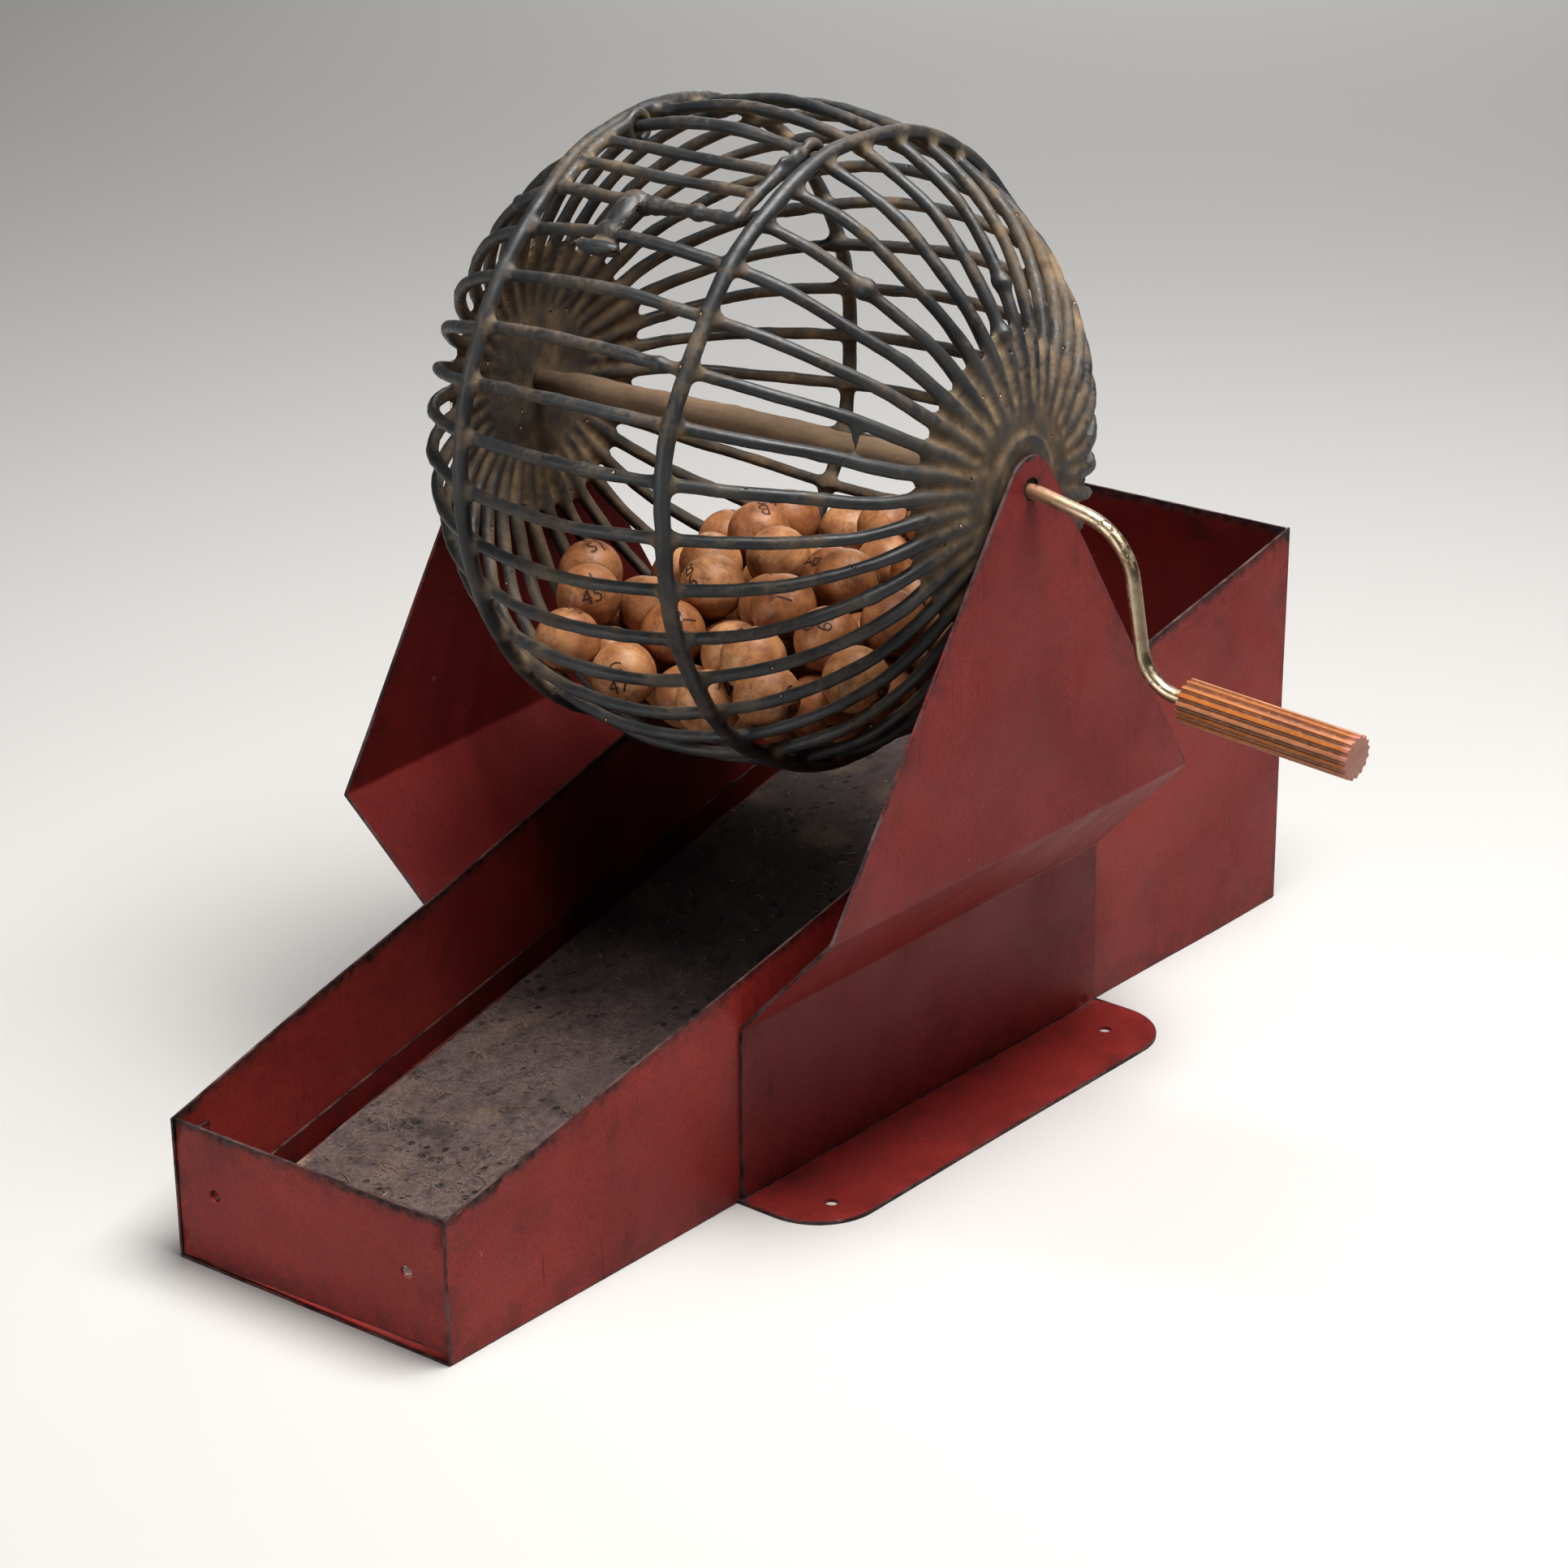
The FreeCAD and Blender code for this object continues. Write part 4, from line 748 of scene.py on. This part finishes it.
def door_dust(mesh, points, normals):
    """Dust on the inside of the door wires and in their hollows, worn off the handled front bar."""
    off, _, inward = around_axle(points, normals)
    handled = blend_step(-56.0 * MM, -58.5 * MM, off[:, 1]) * blend_step(0, 4 * MM, off[:, 0])
    return np.clip(0.24 - 0.22 * handled + 0.4 * inward + 0.5 * np.clip(hollow(mesh, 4, 97), 0, 1)
                   + 0.12 * waves(points, 0.03, 78), 0, 1)


def latch_extras():
    """Flesh of coating on the clip: a thick lens on the thumb tab, and bulges along the strap."""
    points = mesh_points(frame["nodes"]["latch_clip"].data)
    middle = (points[:, 0].min() + points[:, 0].max()) / 2
    tab = points[np.abs(points[:, 0] - middle) > 4.5 * MM]
    tip, root = tab[np.argmin(tab[:, 1])], tab[np.argmax(tab[:, 1])]
    centre = (tab.min(axis=0) + tab.max(axis=0)) / 2
    along = (root - tip)[1:] / np.linalg.norm((root - tip)[1:])
    lens, faces = blob(np.zeros(3), 1.0)
    lens = np.array(lens) * np.array([8.4, 3.3, 2.2])
    lens[:, 2] += 0.9 * MM * (lens[:, 0] / (8.4 * MM)) ** 2
    turned = np.stack([lens[:, 0], along[0] * lens[:, 1] - along[1] * lens[:, 2],
                       along[1] * lens[:, 1] + along[0] * lens[:, 2]], axis=1)
    extras = [([tuple(p) for p in turned + centre], faces)]
    for angle, radius, x, reach in CLIP_BULGES:
        turn = math.radians(angle)
        points, faces = blob(np.zeros(3), 1.0, reach)
        across, along, out = np.array(points).T
        turned = np.stack([across, math.cos(turn) * out - math.sin(turn) * along,
                           math.sin(turn) * out + math.cos(turn) * along], axis=1)
        extras.append(([tuple(p) for p in turned + on_cage(angle, radius, x)], faces))
    return extras


def latch_dust(mesh, points, normals):
    """Dark crowns and a tan pocket behind the thumb tab."""
    crease = np.clip(hollow(mesh, 5, 95), 0, 1)
    return np.clip(0.10 + 0.85 * crease + 0.12 * waves(points, 0.012, 79), 0, 1)


def build_wires():
    """Cage, door and latch, each one continuous coated skin on its own body."""
    rubber = rubber_material()
    dipped("cage_skin", "cage",
           ["cage_ribs", "hinge_rib", "latch_rib", "short_ribs_left", "short_ribs_right",
            "hoop_left", "hoop_right", "hub_left", "hub_right"],
           cage_extras(), 0.8 * MM, 1.25 * MM, rubber,
           {"seed": 100, "lumps": 0.11 * MM, "knots": 0.24 * MM, "regrow": 0.20 * MM, "wander": 0.35 * MM,
            "flare": 0.40 * MM, "dust_and_shade": cage_dust_and_shade, "keep": clear_of_balls})
    rng = np.random.default_rng(12)
    lumps = []
    for angle, sides in ((109.8, (-1, 1)), (116.4, (-1, 1)), (DOOR_FRONT, (-1,))):
        for side in sides:
            corner = on_cage(angle, DOOR_RADIUS, side * DOOR_SIDE) + rng.normal(0, 0.2, 3) * MM
            lumps.append(blob(corner, rng.uniform(2.5, 2.9)))
    for x, radius in ((3.0, 2.9), (7.0, 2.5), (19.5, 2.9), (28.0, 2.4), (-22.0, 2.5)):
        lumps.append(blob(on_cage(DOOR_FRONT, DOOR_RADIUS, x), radius, (1.3, 1, 1)))
    lumps.append(blob(on_cage(107.5, 106.0, 34.8), 1.7, (1.0, 2.6, 0.9)))
    lumps.append(blob(on_cage(104.4, 105.0, 34.0), 2.4, (0.9, 1.5, 0.9)))
    dipped("door_skin", "door", ["door_frame", "door_bar_rear", "door_bar_middle"],
           lumps, 0.55 * MM, 0.9 * MM, rubber,
           {"seed": 200, "lumps": 0.13 * MM, "knots": 0.25 * MM, "regrow": 0.14 * MM, "wander": 0.25 * MM,
            "dust_and_shade": door_dust})
    dipped("latch_skin", "latch", ["latch_clip"],
           latch_extras(), 0.38 * MM, 1.0 * MM, rubber,
           {"seed": 300, "lumps": 0.10 * MM, "knots": 0.15 * MM, "regrow": 0.46 * MM, "wander": 0.15 * MM,
            "polish": 16, "dust_and_shade": latch_dust})


def build_sleeve():
    """Sleeve over the axle between the hubs: lumpy, arched a little and drawn in at its ends."""
    mesh = joined(["axle_tube"])
    piece = add_object("axle_sleeve", mesh)
    remeshed(piece, 0.9 * MM)
    mesh = evaluated(piece)
    points, normals = mesh_points(mesh), mesh_normals(mesh)
    lumps = 0.16 * MM * waves(points, 0.02, 41) + 0.07 * MM * waves(points, 0.006, 42)
    points = points + lumps[:, None] * normals
    shrink = 1 - 0.22 * blend_step(0.074, 0.095, np.abs(points[:, 0]) + 0.002 * waves(points, 0.01, 44))
    points[:, 1] *= shrink
    points[:, 2] = AXLE + (points[:, 2] - AXLE) * shrink
    points[:, 2] += 0.0012 * np.cos(points[:, 0] / SLEEVE_HALF * math.pi / 2)
    points[:, 1] += 0.0005 * waves(points * np.array([1, 0, 0]), 0.08, 43)
    set_points(mesh, points)
    mesh.shade_smooth()
    mesh.materials.append(tube_material())
    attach(piece, "cage")
    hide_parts("axle_tube")


# ---- sheet metal


def sharp_segments(welded, long_enough):
    """End points of the mesh's sharp edges."""
    ends = []
    for edge in welded.edges:
        if len(edge.link_faces) == 2 and edge.calc_face_angle(0) > 0.5 and edge.calc_length() > long_enough:
            ends.append((np.array(edge.verts[0].co), np.array(edge.verts[1].co)))
    return ends


def distance_to(points, segments):
    """Distance from each point to the nearest segment."""
    best = np.full(len(points), 1.0)
    for one, two in segments:
        way = two - one
        t = np.clip((points - one) @ way / max(way @ way, 1e-12), 0, 1)
        best = np.minimum(best, np.linalg.norm(points - one - t[:, None] * way, axis=1))
    return best


def cut_across(welded, axis, at, tolerance):
    """Cuts a mesh through at one place on an axis."""
    normal, where = [0.0, 0.0, 0.0], [0.0, 0.0, 0.0]
    normal[axis], where[axis] = 1.0, at
    everything = welded.verts[:] + welded.edges[:] + welded.faces[:]
    bmesh.ops.bisect_plane(welded, geom=everything, dist=tolerance, plane_co=where, plane_no=normal)


def gridded(welded, pitch):
    """Cuts a mesh on a regular grid so that it can bend and carry smooth values."""
    bmesh.ops.triangulate(welded, faces=welded.faces)
    points = np.array([v.co[:] for v in welded.verts])
    low, high = points.min(axis=0), points.max(axis=0)
    for axis in range(3):
        steps = int((high[axis] - low[axis]) / pitch)
        for k in range(1, steps + 1):
            cut_across(welded, axis, low[axis] + (high[axis] - low[axis]) * k / (steps + 1), 1e-6)


def sheet_part(node, name, material, rim, wave, pitch=6.0 * MM):
    """A folded sheet with slight waviness and its wear distances."""
    welded = welded_copy(frame["nodes"][node].data, WELD)
    bmesh.ops.dissolve_limit(welded, angle_limit=math.radians(0.5), verts=welded.verts, edges=welded.edges)
    segments = sharp_segments(welded, 0.4 * MM)
    rims = [pair for pair in segments if rim(*pair)]
    gridded(welded, pitch)
    mesh = bpy.data.meshes.new(name)
    welded.to_mesh(mesh)
    welded.free()
    points = mesh_points(mesh)
    point_layer(mesh, "edge", distance_to(points, segments))
    point_layer(mesh, "rim", distance_to(points, rims) if rims else np.ones(len(points)))
    set_points(mesh, points + wave * vector_waves(points, 0.13, 500) * np.array([1.0, 0.6, 0.0]))
    piece = add_object(name, mesh, smooth=False)
    mesh.materials.append(material)
    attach(piece, "stand")
    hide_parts(node)


def build_sheets():
    """Chute, its end plates, the floor pan and the two supports."""
    dark, pale = rgb(44, 32, 33), rgb(98, 78, 75)
    grey, silver = rgb(58, 45, 47), rgb(100, 82, 82)
    red = enamel_material("aged_red_enamel", rgb(146, 56, 50), rgb(128, 47, 43), 0.26, dark, pale)
    plate = enamel_material("plate_red_enamel", rgb(135, 50, 46), rgb(121, 44, 41), 0.14, grey, silver)
    # Painted shade: a darker copy of the red enamel for the back plate and floor pan inside the chute, with
    # heavier dark blotches of dirt.
    painted_shade_red = enamel_material("shaded_red_enamel", rgb(118, 34, 29), rgb(92, 25, 22), 0.75, dark, pale)
    low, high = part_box("tray_shell")

    def top_line(y):
        share = (y - low.y) / (high.y - low.y)
        return CHUTE_FRONT_TOP + share * (CHUTE_REAR_TOP - CHUTE_FRONT_TOP)

    def on_top(one, two):
        return all(p[2] > top_line(p[1]) - 0.002 for p in (one, two))

    sheet_part("tray_shell", "chute_shell", red, on_top, 0.20 * MM)
    sheet_part("tray_front_plate", "chute_front_plate", red, on_top, 0.12 * MM)
    sheet_part("tray_back_plate", "chute_back_plate", painted_shade_red, on_top, 0.15 * MM)
    sheet_part("floor_pan", "sloping_floor_pan", painted_shade_red, lambda one, two: False, 0.10 * MM)
    for word in ("left", "right"):
        sheet_part("support_" + word, "support_plate_" + word, plate, lambda one, two: False, 0.15 * MM)


# ---- felt


def build_felt():
    """Matted lining on the sloping pan, built as a thin padded slab."""
    source = mesh_points(frame["nodes"]["felt_lining"].data)
    low, high = source.min(axis=0), source.max(axis=0)
    front = source[source[:, 1] < low[1] + 0.004]
    rear = source[source[:, 1] > high[1] - 0.004]
    front_half, rear_half = front[:, 0].max(), rear[:, 0].max()
    front_low, rear_low = front[:, 2].min(), rear[:, 2].min()
    thick = front[:, 2].max() - front_low
    across, along = 110, 300
    grid_u, grid_v = np.meshgrid(np.linspace(-1, 1, across + 1), np.linspace(0, 1, along + 1))
    half = front_half + (rear_half - front_half) * grid_v
    y = low[1] + 0.0004 + (high[1] - low[1] - 0.0008) * grid_v
    base = front_low + (rear_low - front_low) * grid_v
    flat = np.stack([grid_u * half, y, base], axis=-1).reshape(-1, 3)
    tear = np.clip(0.4 + 0.7 * waves(flat, 0.05, 61), 0, 1) * 0.0012
    flat[:, 0] += blend_step(0.93, 1.0, -grid_u).ravel() * tear
    nap = 0.10 * MM * waves(flat, 0.004, 62) + 0.18 * MM * waves(flat, 0.02, 63)
    pits = np.clip(waves(flat, 0.007, 64) - 1.3, 0, 1) * 0.9 * MM
    border = np.minimum((1 - np.abs(grid_u)) / 0.004, 1.0).ravel()
    top = flat.copy()
    top[:, 2] += np.clip(thick - 0.45 * MM + nap - pits, 0.5 * MM, thick) * (0.45 + 0.55 * border)
    under = flat.copy()
    under[:, 2] += 0.05 * MM
    piece = from_arrays("felt_sheet", np.concatenate([top, under]), slab_faces(along + 1, across + 1))
    worn = blend_step(0.90, 0.97, -grid_u).ravel() * blend_step(-0.17, -0.175, flat[:, 1])
    worn = worn + 0.25 * np.clip(waves(flat, 0.03, 65) - 0.8, 0, 1)
    point_layer(piece.data, "worn", np.concatenate([worn, worn]))
    piece.data.materials.append(felt_material())
    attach(piece, "stand")
    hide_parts("felt_lining")
    fibres = build_fibres(front_half, rear_half, (low[1], high[1]), (front_low, rear_low), thick)


def build_fibres(front_half, rear_half, run, rise, thick):
    """Loose fibres lying on the felt, thin three-sided bent threads half sunk in it."""
    rng = np.random.default_rng(70)
    count, steps = 1500, 5
    share = rng.uniform(0.01, 0.99, count) ** 1.5
    half = front_half + (rear_half - front_half) * share
    start = np.stack([rng.uniform(-0.95, 0.95, count) * half, run[0] + (run[1] - run[0]) * share], axis=1)
    heading = rng.uniform(0, 2 * math.pi, count)
    curl = rng.normal(0, 0.45, count)
    stride = rng.uniform(0.35, 1.4, count) * MM
    line = [start]
    for step in range(steps - 1):
        turn = heading + curl * step
        line.append(line[-1] + stride[:, None] * np.stack([np.cos(turn), np.sin(turn)], axis=1))
    line = np.stack(line, axis=1)
    slope = (rise[1] - rise[0]) / (run[1] - run[0])
    keep = (line[:, :, 1].min(axis=1) > run[0] + 1 * MM) & (line[:, :, 1].max(axis=1) < run[1] - 1 * MM)
    keep &= np.abs(line[:, :, 0]).max(axis=1) < half - 1 * MM
    line, heading, curl = line[keep], heading[keep], curl[keep]
    count = len(line)
    arch = np.sin(np.linspace(0, math.pi, steps)) * rng.uniform(0.1, 0.5, count)[:, None] * MM
    height = rise[0] + slope * (line[:, :, 1] - run[0]) + thick - 0.38 * MM + arch
    turn = heading[:, None] + curl[:, None] * np.arange(steps)
    across = np.stack([-np.sin(turn), np.cos(turn)], axis=-1)
    thin = rng.uniform(0.09, 0.17, count)[:, None] * np.array([0.5, 1.0, 1.0, 1.0, 0.5]) * MM
    rings = []
    for k in range(3):
        spin = 2 * math.pi * k / 3
        flat = line + across * (thin * math.cos(spin))[:, :, None]
        rings.append(np.concatenate([flat, (height + thin * math.sin(spin))[:, :, None]], axis=2))
    points = np.stack(rings, axis=2).reshape(-1, 3)
    one = []
    for step in range(steps - 1):
        for k in range(3):
            a, b = 3 * step + k, 3 * step + (k + 1) % 3
            one.append((a, b, b + 3, a + 3))
    ends = [(0, 2, 1), (3 * steps - 3, 3 * steps - 2, 3 * steps - 1)]
    faces = [tuple(3 * steps * i + v for v in face) for i in range(count) for face in one + ends]
    piece = from_arrays("felt_fibres", points, faces)
    point_layer(piece.data, "shade", np.repeat(rng.beta(1.5, 1.3, count), 3 * steps))
    piece.data.materials.append(fibre_material())
    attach(piece, "stand")
    return piece


# ---- balls


def ball_mesh(radius, turn, centre, around=36):
    """Points, local points and faces of one turned ball, with a ring groove at each pole."""
    angles = np.linspace(0, math.pi, 33)
    reach = np.full(len(angles), radius)
    for pole in (0.0, math.pi):
        away = np.abs(angles - pole) * radius
        reach -= 0.10 * MM * np.exp(-((away - 1.7 * MM) / (0.5 * MM)) ** 2)
    points = [(0, 0, reach[0])]
    for angle, r in zip(angles[1:-1], reach[1:-1]):
        for k in range(around):
            spin = 2 * math.pi * k / around
            points.append((r * math.sin(angle) * math.cos(spin), r * math.sin(angle) * math.sin(spin),
                           r * math.cos(angle)))
    points.append((0, 0, -reach[-1]))
    rows = len(angles) - 2
    faces = [(0, 1 + k, 1 + (k + 1) % around) for k in range(around)]
    for row in range(rows - 1):
        for k in range(around):
            a, b = 1 + row * around + k, 1 + row * around + (k + 1) % around
            faces.append((a, a + around, b + around, b))
    last = 1 + rows * around
    faces += [(last, last - around + (k + 1) % around, last - around + k) for k in range(around)]
    local = np.array(points)
    return local @ turn.T + centre, local, faces


def random_turn(rng):
    """Random rotation matrix."""
    q = rng.normal(size=4)
    q /= np.linalg.norm(q)
    w, x, y, z = q
    return np.array([[1 - 2 * (y * y + z * z), 2 * (x * y - z * w), 2 * (x * z + y * w)],
                     [2 * (x * y + z * w), 1 - 2 * (x * x + z * z), 2 * (y * z - x * w)],
                     [2 * (x * z - y * w), 2 * (y * z + x * w), 1 - 2 * (x * x + y * y)]])


def text_shapes(text, size):
    """A flat mark as a thin closed mesh in the XY plane, cut fine enough to wrap."""
    curve = bpy.data.curves.new("mark", "FONT")
    curve.body, curve.size = text, size
    curve.align_x, curve.align_y = "CENTER", "CENTER"
    curve.space_line = 0.72
    curve.offset = -0.003 * size
    curve.extrude = 0.10 * MM
    curve.resolution_u = 4
    holder = bpy.data.objects.new("mark", curve)
    link(holder)
    mesh = bpy.data.meshes.new_from_object(holder.evaluated_get(bpy.context.evaluated_depsgraph_get()))
    welded = welded_copy(mesh, 1e-7)
    points = np.array([v.co[:] for v in welded.verts])
    for axis in (0, 1):
        at = points[:, axis].min() + MARK_PITCH
        while at < points[:, axis].max():
            cut_across(welded, axis, at, 1e-8)
            at += MARK_PITCH
    welded.verts.index_update()
    points = np.array([v.co[:] for v in welded.verts])
    faces = [[v.index for v in f.verts] for f in welded.faces]
    welded.free()
    bpy.data.objects.remove(holder)
    bpy.data.curves.remove(curve)
    bpy.data.meshes.remove(mesh)
    return points, faces


def wrapped(points, radius, heading):
    """Wraps a flat mark on a ball about its local +X, turned by heading."""
    c, s = math.cos(heading), math.sin(heading)
    flat_x, flat_y = c * points[:, 0] - s * points[:, 1], s * points[:, 0] + c * points[:, 1]
    away = np.hypot(flat_x, flat_y)
    angle = away / radius
    reach = radius + points[:, 2] * 0.9 - 0.05 * MM
    spread = np.where(away > 1e-9, np.sin(angle) / np.maximum(away, 1e-9), 1 / radius)
    return np.stack([reach * np.cos(angle), reach * spread * flat_x, reach * spread * flat_y], axis=1)


def ball_centres(node):
    """Centres and radius of the balls in a CAD node."""
    welded = welded_copy(frame["nodes"][node].data, WELD)
    seen, found = set(), []
    welded.verts.ensure_lookup_table()
    for start in welded.verts:
        if start.index in seen:
            continue
        stack, island = [start], []
        seen.add(start.index)
        while stack:
            vert = stack.pop()
            island.append(vert.co[:])
            for edge in vert.link_edges:
                other = edge.other_vert(vert)
                if other.index not in seen:
                    seen.add(other.index)
                    stack.append(other)
        spots = np.array(island)
        found.append((spots.min(axis=0) + spots.max(axis=0)) / 2)
        radius = (spots.max(axis=0) - spots.min(axis=0)).max() / 2
    welded.free()
    return found, radius


def build_balls():
    """Five groups of fifteen turned wooden balls, each with its letter and number."""
    wood, ink = wood_material(), ink_material()
    for group, letter in enumerate("bingo"):
        rng = np.random.default_rng(900 + group)
        centres, radius = ball_centres("balls_" + letter)
        points, local, faces, tint, burn = [], [], [], [], []
        mark_points, mark_faces = [], []
        base, mark_base = 0, 0
        for index, centre in enumerate(centres):
            turn = random_turn(rng)
            body, own, quads = ball_mesh(radius, turn, centre)
            points.append(body)
            local.append(own + rng.uniform(-0.4, 0.4, 3))
            faces += [tuple(base + i for i in face) for face in quads]
            base += len(body)
            tint.append(np.full(len(body), rng.beta(1.6, 1.6)))
            marks = [(0.0, rng.uniform(0, 2 * math.pi))]
            if rng.uniform() < 0.85:
                marks.append((math.pi, rng.uniform(0, 2 * math.pi)))
            char = np.zeros(len(body))
            for flip, heading in marks:
                text = "%s\n%d" % (letter.upper(), 1 + index + 15 * group)
                flat, polygons = text_shapes(text, 7.6 * MM)
                placed = wrapped(flat, radius, heading)
                if flip:
                    placed = placed * np.array([-1, -1, 1])
                mark_points.append(placed @ turn.T + centre)
                mark_faces += [tuple(mark_base + i for i in face) for face in polygons]
                mark_base += len(placed)
                pole = np.array([math.cos(flip), 0, 0])
                close = own @ pole / radius
                char = np.maximum(char, blend_step(0.80, 0.97, close) * rng.uniform(0.2, 0.9))
            burn.append(char)
        piece = from_arrays("wooden_balls_" + letter, np.concatenate(points), faces)
        point_layer(piece.data, "local", np.concatenate(local))
        point_layer(piece.data, "tint", np.concatenate(tint))
        point_layer(piece.data, "burn", np.concatenate(burn))
        piece.data.materials.append(wood)
        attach(piece, "heap")
        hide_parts("balls_" + letter)
        marks = from_arrays("ball_marks_" + letter, np.concatenate(mark_points), mark_faces, smooth=False)
        marks.data.materials.append(ink)
        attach(marks, "heap")


# ---- crank


def dress_crank():
    """The rod and grip keep their CAD shape and get their own finishes."""
    paint = {"axle_crank_rod": nickel_material()}
    points = mesh_points(frame["nodes"]["crank_grip"].data)
    start = points[points[:, 0] < points[:, 0].min() + 0.003]
    end = points[points[:, 0] > points[:, 0].max() - 0.003]
    middle = [(side[:, 2].min() + side[:, 2].max()) / 2 for side in (start, end)]
    run = end[:, 0].mean() - start[:, 0].mean()
    slope = (middle[1] - middle[0]) / run
    paint["crank_grip"] = grip_material(0.0, middle[0], points[:, 0].max(), start[:, 0].mean(), slope)
    for node, material in paint.items():
        piece = frame["nodes"][node]
        piece.data.materials.clear()
        piece.data.materials.append(material)


place_camera()
studio()
build_wires()
build_sleeve()
build_sheets()
build_felt()
build_balls()
dress_crank()
